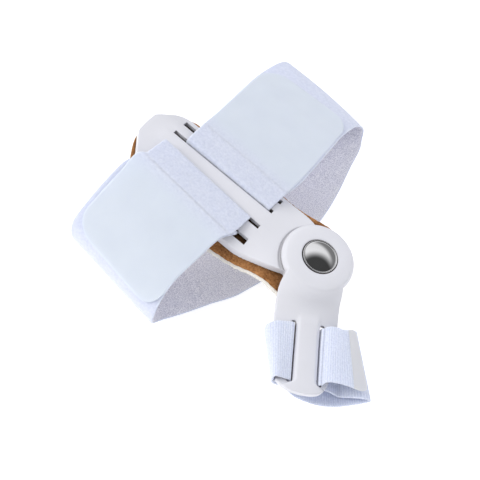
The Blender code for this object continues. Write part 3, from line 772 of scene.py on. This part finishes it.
def paint_cloth(tree, shader, speckle, plain):
    """Cloth that is speckled and less blue where the mesh's speckle attribute says so."""
    speckled = blend(tree, speckle, "#C5C6D4", "#F5F5FB")
    paint(tree, shader, blend(tree, mesh_value(tree, "speckle"), plain, speckled))


def loop_cloth(name, weave_low, weave_high):
    """Brushed nylon loop, soft and mottled, that turns into a smooth weave where the
    mesh's pile attribute falls: the same cloth before and after it is heat-set."""
    made, tree, shader = new_material(name, {
        "Specular IOR Level": 0.25,
        "Sheen Weight": 0.15,
        "Sheen Roughness": 0.5,
        **THIN_CLOTH,
    })
    where = own_place(tree)
    brushed = mesh_value(tree, "pile")
    flat = add_node(tree, "ShaderNodeUVMap").outputs["UV"]
    loops = cloudy(tree, where, scale=1 / (1.1 * MM), detail=4.0, roughness=0.65)
    fine = cloudy(tree, where, scale=1 / (0.45 * MM), detail=2.0)
    soft = cloudy(tree, flat, scale=1 / (12 * MM), detail=2.0)
    pile_tone = blend(tree, spread(tree, loops, 0.3, 0.7), "#CAD0E2", "#DADFEE")
    face_tone = blend(tree, brushed, blend(tree, soft, weave_low, weave_high), pile_tone)
    paint_cloth(tree, shader, spread(tree, fine, 0.35, 0.65), face_tone)
    tree.links.new(spread(tree, brushed, 0.0, 1.0, 0.65, 0.95), shader.inputs["Roughness"])
    weave = add_node(tree, "ShaderNodeTexChecker", {0: flat, "Scale": 1 / (0.7 * MM)}).outputs["Fac"]
    height = between(tree, brushed, worked(tree, "MULTIPLY", weave, 0.04), loops)
    bump(tree, shader, height, 0.6, 0.30 * MM)
    return made


def ribbed_cloth():
    """Narrow knitted elastic: fine ribs across its width, soft and matt."""
    made, tree, shader = new_material("knitted_elastic", {
        "Roughness": 0.95,
        "Specular IOR Level": 0.2,
        "Sheen Weight": 0.2,
        "Sheen Roughness": 0.5,
        **THIN_CLOTH,
    })
    flat = add_node(tree, "ShaderNodeUVMap").outputs["UV"]
    along = add_node(tree, "ShaderNodeSeparateXYZ", {0: flat}).outputs["X"]
    ribs = worked(tree, "SINE", worked(tree, "MULTIPLY", along, math.tau / RIB_SPACING))
    loops = cloudy(tree, own_place(tree), scale=1 / (0.6 * MM), detail=3.0)
    level = spread(tree, worked(tree, "MULTIPLY_ADD", ribs, 0.10, loops), 0.25, 0.75)
    paint_cloth(tree, shader, level, blend(tree, level, "#C9D0E4", "#E0E6F6"))
    bump(tree, shader, loops, 0.5, 0.12 * MM)
    return made


def plate_relief(along, side):
    """What the moulding adds to the plate's top: spine, bars and the boss's seat."""
    inside = smooth_step(-along, *RELIEF_FRONT) * (1 - smooth_step(-along, *RELIEF_BACK))
    spine = 1 - smooth_step(abs(side), *SPINE_EDGE)
    bar = 1 - smooth_step(abs(abs(side) - (BAR_INNER + BAR_OUTER) / 2), *BAR_EDGE)
    collar = 1 - smooth_step(math.hypot(along, side), *COLLAR_EDGE)
    return inside * (SPINE_RAISE * spine + BAR_RAISE * bar) - COLLAR_DEPTH * collar


def make_plate(material):
    """Arched foot plate with its lip, strap slots, raised spine and bars."""
    outline = table_outline(PLATE_OUTLINE, PLATE_BACK, PLATE_HALF_WIDTH, PLATE_NOSE)
    plate = prism("foot_plate", outline, 0.0, -PLATE_THICKNESS - LIP_DEPTH)
    inner = table_outline(PLATE_OUTLINE, PLATE_BACK, PLATE_HALF_WIDTH, PLATE_NOSE, LIP_WIDTH)
    combine(plate, prism("pocket", inner, -PLATE_THICKNESS, -2 * PAD_DROP), "DIFFERENCE")
    remesh(plate, PLATE_VOXEL, passes=2)
    for vertex in plate.data.vertices:
        along, side, level = vertex.co
        if level > -PLATE_THICKNESS / 2:
            level += plate_relief(along, side)
        vertex.co.z = level - plate_drop(along, side)
    for near, far in ((BAR_INNER - INNER_SLOT_WIDTH, BAR_INNER), (BAR_OUTER, RAIL_INNER)):
        for side in (-1, 1):
            low = (-SLOT_BACK, min(side * near, side * far), -CUT_BELOW)
            high = (-SLOT_START, max(side * near, side * far), CUT_ABOVE)
            combine(plate, block(low, high), "DIFFERENCE")
    place(plate, PLATE)
    finish(plate, material, FOOT, "white_plastic", "side_plate")


def make_pad_layer(name, top, thickness, ruffle, grain, material, slot, node):
    """One layer of the pad: soft edges, the plate's arch and an uneven surface."""
    outline = table_outline(PAD_OUTLINE, PAD_BACK, PAD_HALF_WIDTH, PAD_NOSE)
    layer = prism(name, [(x, y + PAD_OFFSET) for x, y in outline], top, top - thickness)
    remesh(layer, PAD_VOXEL, passes=3)
    for vertex in layer.data.vertices:
        along, side, level = vertex.co
        vertex.co.z = level - pad_drop(along, side)
    layer.data.update()
    normals = [vertex.normal.copy() for vertex in layer.data.vertices]
    for vertex, normal in zip(layer.data.vertices, normals):
        vertex.co += normal * ruffle * noise.noise(vertex.co / grain)
    place(layer, PLATE)
    finish(layer, material, FOOT, slot, node)
    return layer


def boss_profile():
    """Closed half-profile of the hinge boss: a low dome with the rivet's seat in its top."""
    top = GAP + BOSS_HEIGHT
    seat = CAP_RADIUS + GAP
    floor = top - CAP_SEAT
    edge = BOSS_RADIUS - BOSS_ROUND
    outer = arc((edge, top - BOSS_FALL - BOSS_ROUND), BOSS_ROUND, BOSS_SHOULDER, 0, ARC_STEPS)
    inner = arc((seat + SEAT_ROUND, top - SEAT_ROUND), SEAT_ROUND, 180, 90, ARC_STEPS // 2)
    start = inner[-1][0]
    for step in range(1, ARC_STEPS):
        share = step / ARC_STEPS
        inner.append((start + share * (outer[0][0] - start), top - BOSS_FALL * share * share))
    return [(0.0, floor), (seat, floor)] + inner + outer + [(BOSS_RADIUS, GAP), (0.0, GAP)]


def arm_relief(along, side):
    """What the moulding adds to the arm's top: the boss's skirt, and a spine that
    runs between the slots and spreads over the tip."""
    edge = ARM_SPINE_HALF_WIDTH + TIP_SPREAD * smooth_step(along, TIP_START, ARM_LENGTH)
    inside = 1 - smooth_step(abs(side), *(edge + shift for shift in ARM_SPINE_EDGE))
    skirt = 1 - smooth_step(math.hypot(along, side + ARM_OFFSET), *SKIRT_EDGE)
    return ARM_SPINE_RAISE * smooth_step(along, *ARM_SPINE_START) * inside + SKIRT_RAISE * skirt


def make_arm(material):
    """Toe arm: boss and blade in one moulding, with slots and a raised spine."""
    right = [(along * ARM_LENGTH, half * ARM_HALF_WIDTH) for along, _, half in ARM_OUTLINE]
    left = [(along * ARM_LENGTH, -half * ARM_HALF_WIDTH) for along, half, _ in ARM_OUTLINE]
    outline = rounded_corners([(x, y + ARM_OFFSET) for x, y in right + left[::-1]], 2)
    arm = prism("toe_arm_moulding", outline, 0.0, -ARM_THICKNESS)
    for way in (-1, 1):
        edges = sorted((ARM_OFFSET + way * ARM_SPINE_HALF_WIDTH, ARM_OFFSET + way * WING_INNER))
        low = (ARM_SLOT_START, edges[0], -2 * ARM_THICKNESS)
        high = (ARM_SLOT_END, edges[1], ARM_THICKNESS)
        combine(arm, block(low, high), "DIFFERENCE")
    remesh(arm, ARM_VOXEL, passes=1)
    for vertex in arm.data.vertices:
        along, side, level = vertex.co
        side -= ARM_OFFSET
        if level > -ARM_THICKNESS / 2:
            level += arm_relief(along, side)
        vertex.co.z = level + arm_level(along, side, ARM_BLUR)
    combine(arm, turned("boss", boss_profile()), "UNION")
    remesh(arm, ARM_VOXEL, passes=4)
    place(arm, ARM)
    finish(arm, material, TOE, "white_plastic", "toe_arm")


def cap_profile():
    """Closed half-profile of the rivet's head: a low dome inside a rolled rim."""
    rim = GAP + BOSS_HEIGHT
    underside = rim - CAP_SEAT + GAP
    dome_edge = CAP_RADIUS - CAP_LEDGE
    height = CAP_RISE - CAP_SEAT
    dome_radius = (dome_edge ** 2 + height ** 2) / (2 * height)
    half_angle = math.degrees(math.asin(dome_edge / dome_radius))
    dome = arc((0.0, rim + height - dome_radius), dome_radius, 90, 90 - half_angle, DOME_STEPS)
    bead = arc((CAP_RADIUS - CAP_BEAD, rim), CAP_BEAD, 170, -20, ARC_STEPS)
    return dome + bead + [(CAP_RADIUS, underside), (0.0, underside)]


def make_cap(material):
    """Polished rivet head that holds the arm to the plate."""
    cap = turned("rivet_head", cap_profile())
    place(cap, ARM)
    finish(cap, material, TOE, "rivet", "hinge_cap")


def spline_point(rows, hem, share):
    """A point on a spline between the second and third of four rows."""
    before, start, end, after = (row[hem] for row in rows)
    leave = (end - before) * 0.5
    arrive = (after - start) * 0.5
    squared = share * share
    cubed = squared * share
    return (
        start * (2 * cubed - 3 * squared + 1)
        + leave * (cubed - 2 * squared + share)
        + end * (3 * squared - 2 * cubed)
        + arrive * (cubed - squared)
    )


def smooth_rows(rows, steps):
    """Pairs of hem points on smooth curves through the rows."""
    pairs = []
    for index in range(1, len(rows) - 2):
        for step in range(steps):
            near_rows = rows[index - 1:index + 3]
            pairs.append(tuple(spline_point(near_rows, hem, step / steps) for hem in (0, 1)))
    pairs.append(rows[-2])
    return pairs


def middle(pair):
    """The point midway between two hems."""
    return (pair[0] + pair[1]) / 2


def offset_pairs(pairs, distance, up):
    """The pairs moved square to their surface, to the side that faces up."""
    moved = []
    last = len(pairs) - 1
    for index, (front, back) in enumerate(pairs):
        travel = middle(pairs[min(index + 1, last)]) - middle(pairs[max(index - 1, 0)])
        normal = travel.cross(back - front).normalized()
        if normal.dot(up) < 0:
            normal.negate()
        moved.append((front + normal * distance, back + normal * distance))
    return moved


def distances(pairs):
    """Distance along the middle of a run to each of its pairs."""
    steps = ((middle(second) - middle(first)).length for first, second in zip(pairs, pairs[1:]))
    return list(accumulate(steps, initial=0.0))


def even_rows(pairs, spacing, start=0.0, end=None):
    """The same run with rows at an even spacing, between two distances along it."""
    ends = distances(pairs)
    end = ends[-1] if end is None else end
    count = max(2, round((end - start) / spacing))
    stops = [start + (end - start) * step / count for step in range(count + 1)]
    rows = []
    for first, second, passed, reached in zip(pairs, pairs[1:], ends, ends[1:]):
        while len(rows) <= count and stops[len(rows)] <= reached + ROUNDING:
            share = (stops[len(rows)] - passed) / (reached - passed) if reached > passed else 0.0
            rows.append(tuple(first[hem].lerp(second[hem], share) for hem in (0, 1)))
    return rows


def grid_normals(grid):
    """Unit normal at each point of a grid of points."""
    normals = []
    last = len(grid) - 1
    for index, row in enumerate(grid):
        ahead = grid[min(index + 1, last)]
        behind = grid[max(index - 1, 0)]
        end = len(row) - 1
        line = []
        for column in range(len(row)):
            travel = ahead[column] - behind[column]
            across = row[min(column + 1, end)] - row[max(column - 1, 0)]
            line.append(travel.cross(across).normalized())
        normals.append(line)
    return normals


def ring_of(line, normals, bottom, top):
    """One closed section of a band: its face, a rounded hem, its back, the other hem."""
    half = (top - bottom) / 2
    mid = (top + bottom) / 2
    ring = []
    for points, ups, level, way in ((line, normals, top, 1), (line[::-1], normals[::-1], bottom, -1)):
        ring += [point + up * level for point, up in zip(points, ups)]
        outward = (points[-1] - points[-2]).normalized()
        for angle in HEM_ANGLES:
            turn = math.radians(way * angle)
            rise = ups[-1] * (mid + half * math.sin(turn))
            ring.append(points[-1] + rise + outward * half * math.cos(turn))
    return ring


def make_band(name, pairs, columns, bottom, top, relief, marks, round_ends, bow=None):
    """A band of cloth between two hems, with thickness, round hems and a UV map in metres.

    bottom and top give the faces' distances from the middle surface by distance along,
    relief gives what a face point moves out by its distance along and place, marks says
    how brushed and how speckled the cloth is by distance and face, and bow gives how far
    the middle of a row stands out of line.
    """
    grid = []
    for index, (front, back) in enumerate(pairs):
        inset = (back - front).normalized() * (top(0.0) - bottom(0.0)) / 2
        line = []
        for column in range(columns + 1):
            share = column / columns
            point = (front + inset).lerp(back - inset, share)
            if bow:
                point += bow(index) * 4 * share * (1 - share)
            line.append(point)
        grid.append(line)
    normals = grid_normals(grid)
    travelled = distances(pairs)
    total = travelled[-1]
    vertices = []
    brushed = []
    speckled = []
    turns = len(HEM_ANGLES)
    size = 2 * (columns + 1 + turns)
    for index, line in enumerate(grid):
        distance = travelled[index]
        low = bottom(distance)
        high = top(distance)
        half = (high - low) / 2
        round_share = 1.0
        for round_end, near_end in zip(round_ends, (distance, total - distance)):
            if round_end and near_end < half:
                round_share = max(END_SHARE, math.sqrt(1 - (1 - near_end / half) ** 2))
        mid = (low + high) / 2
        ring = ring_of(line, normals[index], mid - half * round_share, mid + half * round_share)
        centre = line + [line[-1]] * turns + line[::-1] + [line[0]] * turns
        for number, point in enumerate(ring):
            outward = (point - centre[number]).normalized()
            vertices.append(point + outward * relief(distance, point) * round_share)
            pile, speckle = marks(distance, number <= columns + turns // 2)
            brushed.append(pile)
            speckled.append(speckle)
    faces = []
    for row in range(len(grid) - 1):
        for number in range(size):
            following = (number + 1) % size
            here = row * size
            faces.append((here + number, here + size + number, here + size + following, here + following))
    last = (len(grid) - 1) * size
    faces.append(tuple(range(size)))
    faces.append(tuple(last + number for number in reversed(range(size))))
    mesh = bpy.data.meshes.new(name)
    mesh.from_pydata(vertices, [], faces)
    mesh.attributes.new("pile", "FLOAT", "POINT").data.foreach_set("value", brushed)
    mesh.attributes.new("speckle", "FLOAT", "POINT").data.foreach_set("value", speckled)
    width = (pairs[0][1] - pairs[0][0]).length
    layer = mesh.uv_layers.new(name="cloth")
    for polygon in mesh.polygons:
        for loop in polygon.loop_indices:
            index = mesh.loops[loop].vertex_index
            row, number = divmod(index, size)
            if number == 0 and polygon.index < len(faces) - 2 and polygon.index % size == size - 1:
                number = size
            layer.data[loop].uv = (travelled[row], 2 * width * number / size)
    piece = bpy.data.objects.new(name, mesh)
    bpy.context.scene.collection.objects.link(piece)
    face_out(piece)
    return piece


# How each strap lies: frame, toe or tip hem, width, offset, level and thickness.
FOOT_LAY = (PLATE, -HEM_START, STRAP_WIDTH, 0.0, 0.0, CLOTH_THICKNESS)
TIP_HEM = ARM_SLOT_END - GAP
TOE_LAY = (ARM, TIP_HEM, TOE_STRAP_WIDTH, ARM_OFFSET, ARM_LEVEL, TOE_CLOTH_THICKNESS)


def foot_slot_section():
    """Foot strap's path by one pair of slots: down the inner, under the bar, up the outer."""
    top_inner = -arch_drop(BAR_INNER, PLATE_ARCH_RADIUS) + 0.5 * BAR_RAISE
    bottom_inner = top_inner - PLATE_THICKNESS
    bottom_outer = -arch_drop(BAR_OUTER, PLATE_ARCH_RADIUS) - PLATE_THICKNESS
    rail_top = -arch_drop(RAIL_INNER, PLATE_ARCH_RADIUS)
    turn = STRAP_OFFSET
    leave = OUTER_SLOT_WIDTH - STRAP_OFFSET
    path = arc((BAR_INNER, top_inner), turn, 90, 180, ARC_STEPS)
    path += arc((BAR_INNER, bottom_inner), turn, 180, BAR_UNDER_ANGLE, ARC_STEPS)
    path += arc((BAR_OUTER, bottom_outer), turn, BAR_UNDER_ANGLE, 360, ARC_STEPS)
    path += arc((RAIL_INNER, rail_top), leave, 180, 90, ARC_STEPS)
    return path


def hem_rows(table, lay, reach):
    """Pairs of hem points for a table's rows, each lifted off the table top by its share."""
    matrix, hem, width, offset, level, thickness = lay
    floor = thickness / 2
    rows = []
    for row in table:
        pair = []
        for back, (side, ahead, lift) in enumerate((row[:3], row[3:])):
            point = matrix @ Vector((hem + (ahead - back) * width, side * reach + offset, level))
            point.z = floor + lift * (point.z - floor)
            pair.append(point)
        rows.append(tuple(pair))
    return rows


def puffed(pair, puff, share):
    """A pair of hem points moved by a share of what puff gives for each hem."""
    turn = PLATE.to_3x3()
    return tuple(hem + turn @ move * share for hem, move in zip(pair, puff))


def foot_side(table, reach, gather, puff, draw, side):
    """One side of the foot strap: the flap, the slots, and the run to the floor."""
    front = gather[0] * STRAP_WIDTH - HEM_START
    back = front - gather[1] * STRAP_WIDTH
    slots = []
    for across, level in foot_slot_section():
        slots.append(tuple(PLATE @ Vector((hem, side * across, level)) for hem in (front, back)))
    rows = hem_rows(table, FOOT_LAY, reach)
    below = smooth_rows([slots[-2], slots[-1]] + rows, steps=12)
    up = PLATE.to_3x3() @ Vector((0.0, 0.0, 1.0))
    over = offset_pairs(below, FLAP_OFFSET, up)
    start = smooth_rows([slots[1], slots[0], over[4], over[8]], steps=8)
    flap = even_rows(start[:-1] + over[4:], CLOTH_STEP)
    for index, pair in enumerate(flap):
        distance = index * CLOTH_STEP
        toe_hem, back_hem = puffed(pair, puff, 1 - smooth_step(distance, PUFF_START, PUFF_REACH))
        inward = (toe_hem - back_hem).normalized() * draw * smooth_step(distance, DRAW_START, DRAW_END)
        flap[index] = (toe_hem, back_hem + inward)
    for index in range(ARC_STEPS + 1):
        slots[index] = puffed(slots[index], puff, math.cos(index / ARC_STEPS * math.pi / 2))
    return flap, slots, below, rows[-1]


def settle(piece):
    """Keep every point of a piece on or above the table."""
    for vertex in piece.data.vertices:
        vertex.co.z = max(vertex.co.z, 0.0)


def make_foot_strap(strap_cloth, tab_cloth):
    """Wide strap: one length threaded at both ends, with a smooth tab on each."""
    left_flap, left_slots, left_below, left_last = foot_side(
        LEFT_FOLD, LEFT_REACH, LEFT_GATHER, LEFT_PUFF, LEFT_DRAW, -1)
    right_flap, right_slots, right_below, right_last = foot_side(
        RIGHT_FOLD, RIGHT_REACH, RIGHT_GATHER, RIGHT_PUFF, RIGHT_DRAW, 1)
    run = even_rows(left_flap, CLOTH_STEP, 0.0, SEAM_REACH)[::-1] + left_slots[1:] + left_below[1:]
    run += smooth_rows([left_below[-1], left_last, right_last, right_below[-1]], steps=16)
    run += right_below[:0:-1] + right_slots[::-1]
    run += even_rows(right_flap, CLOTH_STEP, 0.0, SEAM_REACH)[1:]
    rows = even_rows(run, CLOTH_STEP)
    total = distances(rows)[-1]
    half = CLOTH_THICKNESS / 2
    past_slots = SEAM_REACH + SLOT_RUN
    right_fold = max(range(len(rows)), key=lambda index: middle(rows[index]).y)

    def pile(distance):
        near_end = min(distance, total - distance)
        if near_end < SEAM_REACH:
            return pile_share(SEAM_REACH - near_end)
        return 1 - smooth_step(near_end, SEAM_REACH, past_slots)

    def marks(distance, on_face):
        near_end = min(distance, total - distance)
        speckle = smooth_step(near_end, past_slots, past_slots + SPECKLE_FADE)
        return (pile(distance), speckle) if on_face else (1.0, 0.0)

    def lumps(distance, point):
        height = LOOP_HEIGHT + (PILE_HEIGHT - LOOP_HEIGHT) * pile(distance)
        return height * noise.noise(point / PILE_GRAIN)

    def bow(index):
        away = (index - right_fold) * CLOTH_STEP / FOLD_BOW_REACH
        return Vector((0.0, FOLD_BOW * math.exp(-away * away), 0.0))

    strap = make_band(
        "foot_strap_cloth", rows, STRAP_COLUMNS, lambda _: -half, lambda _: half, lumps, marks,
        (False, False), bow)
    settle(strap)
    finish(strap, strap_cloth, FOOT, "loop_fabric", "foot_strap")
    for name, node, flap, lie in (
        ("left_hook_tape", "hook_tab_left", left_flap, LEFT_TAB),
        ("right_hook_tape", "hook_tab_right", right_flap, RIGHT_TAB),
    ):
        tab = make_tab(name, flap, SEAM_REACH, lie, TAB_END_RADIUS, CLOTH_THICKNESS, pile_share)
        finish(tab, tab_cloth, FOOT, "hook_tape", node)


def pile_share(reach):
    """How brushed the cloth is at a distance from the slots."""
    return 1 - smooth_step(reach, PILE_END, WEAVE_START)


def make_tab(name, flap, start, lie, corner, thickness, pile):
    """A smooth tab on a strap's end: thinner towards its tip, with two round corners.

    lie gives its reach along the flap, how far its end leans towards the toe hem, and
    its margins from the strap's hems. pile gives how brushed it is by its reach.
    """
    reach, lean, toe_margin, near_margin, far_margin = lie
    start += SEAM_GAP
    stretch = (reach - start) / CLOTH_STEP
    toe_side = even_rows(flap, (reach + lean - start) / stretch, start, reach + lean)
    back_side = even_rows(flap, (reach - lean - start) / stretch, start, reach - lean)
    rows = [(toe_pair[0], back_pair[1]) for toe_pair, back_pair in zip(toe_side, back_side)]
    ends = distances(rows)
    length = ends[-1]
    shaped = []
    for (front, back), travelled in zip(rows, ends):
        past = max(0.0, travelled - (length - corner)) / corner
        inset = corner * (1 - math.sqrt(max(0.0, 1 - past * past)))
        drawn = smooth_step(travelled, 0.0, TAB_NARROWS)
        back_margin = near_margin + (far_margin - near_margin) * travelled / length
        across = (back - front).normalized()
        toe_hem = front + across * (toe_margin * drawn + inset)
        shaped.append((toe_hem, back - across * (back_margin * drawn + inset)))
    half = thickness / 2

    def top(distance):
        thin = smooth_step(distance, 0.0, TAB_THINS)
        return -half + thickness + (TAB_END_THICKNESS - thickness) * thin

    def weave(distance, point):
        return PILE_HEIGHT * pile(start + distance) * noise.noise(point / PILE_GRAIN)

    return make_band(
        name, shaped, TAB_COLUMNS, lambda _: -half, top, weave,
        lambda distance, _: (pile(start + distance), 0.0), (False, True))


def wing_section(side, along):
    """Toe strap's path by one slot at one hem, from under the wing to over it."""
    top = arm_level(along, WING_INNER)
    under = max(along, (ARM_SLOT_START + ARM_SLOT_END) / 2)
    bottom = arm_level(under, WING_INNER) - ARM_THICKNESS
    turn = TOE_STRAP_OFFSET
    path = [(TOE_END_REACH, arm_level(under, TOE_END_REACH) - ARM_THICKNESS - turn)]
    path += arc((WING_INNER, bottom), turn, 270, 180, ARC_STEPS)
    path += arc((WING_INNER, top), turn, 180, 90, ARC_STEPS)
    return [ARM @ Vector((along, side * across + ARM_OFFSET, level)) for across, level in path]


def wing_pairs(side):
    """The toe strap's hems by one slot."""
    tip_side = wing_section(side, TIP_HEM)
    return list(zip(tip_side, wing_section(side, TIP_HEM - TOE_STRAP_WIDTH)))


def make_toe_strap(strap_cloth, tab_cloth):
    """Narrow strap: sewn round the left wing, and doubled back by the right slot."""
    left = wing_pairs(-1)
    right = wing_pairs(1)
    loop = hem_rows(TOE_LOOP, TOE_LAY, TOE_REACH)
    flap = hem_rows(TOE_FLAP, TOE_LAY, TOE_REACH)
    round_loop = smooth_rows([left[-2], left[-1]] + loop + [right[0], right[1]], steps=10)
    doubled = smooth_rows([right[-2], right[-1]] + flap + [flap[-1]], steps=10)
    length = distances(doubled)[-1]
    seam = length - TOE_TAB_LENGTH
    run = left[:-1] + round_loop + right[1:-1] + even_rows(doubled, CLOTH_STEP, 0.0, seam)
    rows = even_rows(run, RIB_STEP)
    total = distances(rows)[-1]
    half = TOE_CLOTH_THICKNESS / 2

    def ribs(distance, point):
        wave = math.sin(math.tau * distance / RIB_SPACING)
        return RIB_HEIGHT * wave + LOOP_HEIGHT * noise.noise(point / PILE_GRAIN)

    strap = make_band(
        "toe_strap_cloth", rows, TOE_STRAP_COLUMNS, lambda _: -half, lambda _: half, ribs,
        lambda *_: (1.0, 0.0), (True, False))
    settle(strap)
    finish(strap, strap_cloth, TOE, "loop_fabric", "toe_strap")
    lie = (length - GAP, 0.0, 0.0, 0.0, 0.0)
    tab = make_tab("toe_hook_tape", doubled, seam, lie, TOE_TAB_CORNER, TOE_CLOTH_THICKNESS, lambda _: 0.0)
    finish(tab, tab_cloth, TOE, "hook_tape", "toe_hook_tab")


def make_floor():
    """Plain white light table under the part: matt, and faintly lit from below."""
    made, tree, shader = new_material("matt_white_table", {
        "Base Color": linear("#F7F7F8"),
        "Roughness": 0.9,
        "Specular IOR Level": 0.1,
        "Emission Color": linear("#FFFFFF"),
        "Emission Strength": TABLE_GLOW,
    })
    bpy.ops.mesh.primitive_plane_add(size=TABLE_SIZE, location=(0.0, 0.0, -TABLE_SINK))
    floor = bpy.context.object
    floor.name = "table_top"
    floor.data.materials.append(made)


def make_light(name, place_at, size, power, colour):
    """A square soft light aimed at the part, which reflections don't show."""
    bpy.ops.object.light_add(type="AREA", location=place_at)
    light = bpy.context.object
    light.name = name
    light.data.shape = "SQUARE"
    light.data.size = size
    light.data.energy = power
    light.data.color = linear(colour)[:3]
    light.visible_glossy = False
    way = Vector(place_at) - Vector(LIGHT_AIM)
    light.rotation_euler = way.to_track_quat("Z", "Y").to_euler()


def make_studio():
    """White surround, two soft lights, and a dark side that only shows in reflections."""
    world = bpy.context.scene.world or bpy.data.worlds.new("studio")
    bpy.context.scene.world = world
    world.use_nodes = True
    tree = world.node_tree
    tree.nodes.clear()
    around = add_node(tree, "ShaderNodeTexCoord").outputs["Generated"]
    height = add_node(tree, "ShaderNodeSeparateXYZ", {0: around}).outputs["Z"]
    compared = {"operation": "DOT_PRODUCT", 0: around, 1: DARK_SIDE}
    toward = add_node(tree, "ShaderNodeVectorMath", compared).outputs["Value"]
    dark = spread(tree, toward, 0.38, 0.76, 1.0, 0.06, "SMOOTHSTEP")
    horizon = spread(tree, height, 0.30, 0.55, 0.35, 1.25, "SMOOTHSTEP")
    mirrored = worked(tree, "MULTIPLY", dark, horizon)
    in_glossy = add_node(tree, "ShaderNodeLightPath").outputs["Is Glossy Ray"]
    shown = between(tree, in_glossy, 1.0, mirrored)
    level = spread(tree, height, -0.1, 0.9, 0.55, 0.75)
    power = worked(tree, "MULTIPLY", level, shown)
    shade = add_node(tree, "ShaderNodeBackground", {"Color": linear("#FDFDFF"), "Strength": power})
    add_node(tree, "ShaderNodeOutputWorld", {0: shade.outputs[0]})
    make_light("key_light", KEY_PLACE, KEY_SIZE, KEY_POWER, "#FFFDFA")
    make_light("fill_light", FILL_PLACE, FILL_SIZE, FILL_POWER, "#F6F8FF")


def make_camera():
    """Camera at the photograph's place and angle."""
    bpy.ops.object.camera_add()
    camera = bpy.context.object
    camera.matrix_world = make_frame(CAMERA_PLACE, CAMERA_RIGHT, CAMERA_UP, CAMERA_BACK)
    camera.data.lens = CAMERA_LENS
    camera.data.sensor_width = SENSOR_WIDTH
    camera.data.clip_start = 0.01
    bpy.context.scene.camera = camera


def main():
    """Dress the whole part and its studio."""
    bpy.context.scene.view_settings.view_transform = "Standard"
    make_camera()
    make_studio()
    make_floor()
    plastic = moulded_plastic()
    make_plate(plastic)
    make_arm(plastic)
    make_cap(chrome())
    face = make_pad_layer(
        "suede_face", top=-PAD_DROP, thickness=SUEDE_THICKNESS, ruffle=0.08 * MM, grain=1.0 * MM,
        material=suede(), slot="tan_suede", node="pad_suede")
    lining = make_pad_layer(
        "fleece_lining", top=-PAD_DROP - SUEDE_THICKNESS - GAP, thickness=LINING_THICKNESS,
        ruffle=0.35 * MM, grain=0.9 * MM, material=fleece(), slot="fleece", node="pad_lining")
    foot_cloth = loop_cloth("brushed_nylon_loop", "#D0D8E5", "#D8E0EC")
    make_foot_strap(foot_cloth, loop_cloth("heat_set_hook_tape", "#D0D8E5", "#D8E0EC"))
    make_toe_strap(ribbed_cloth(), loop_cloth("undyed_hook_tape", "#D2D4D9", "#DBDCE0"))


main()
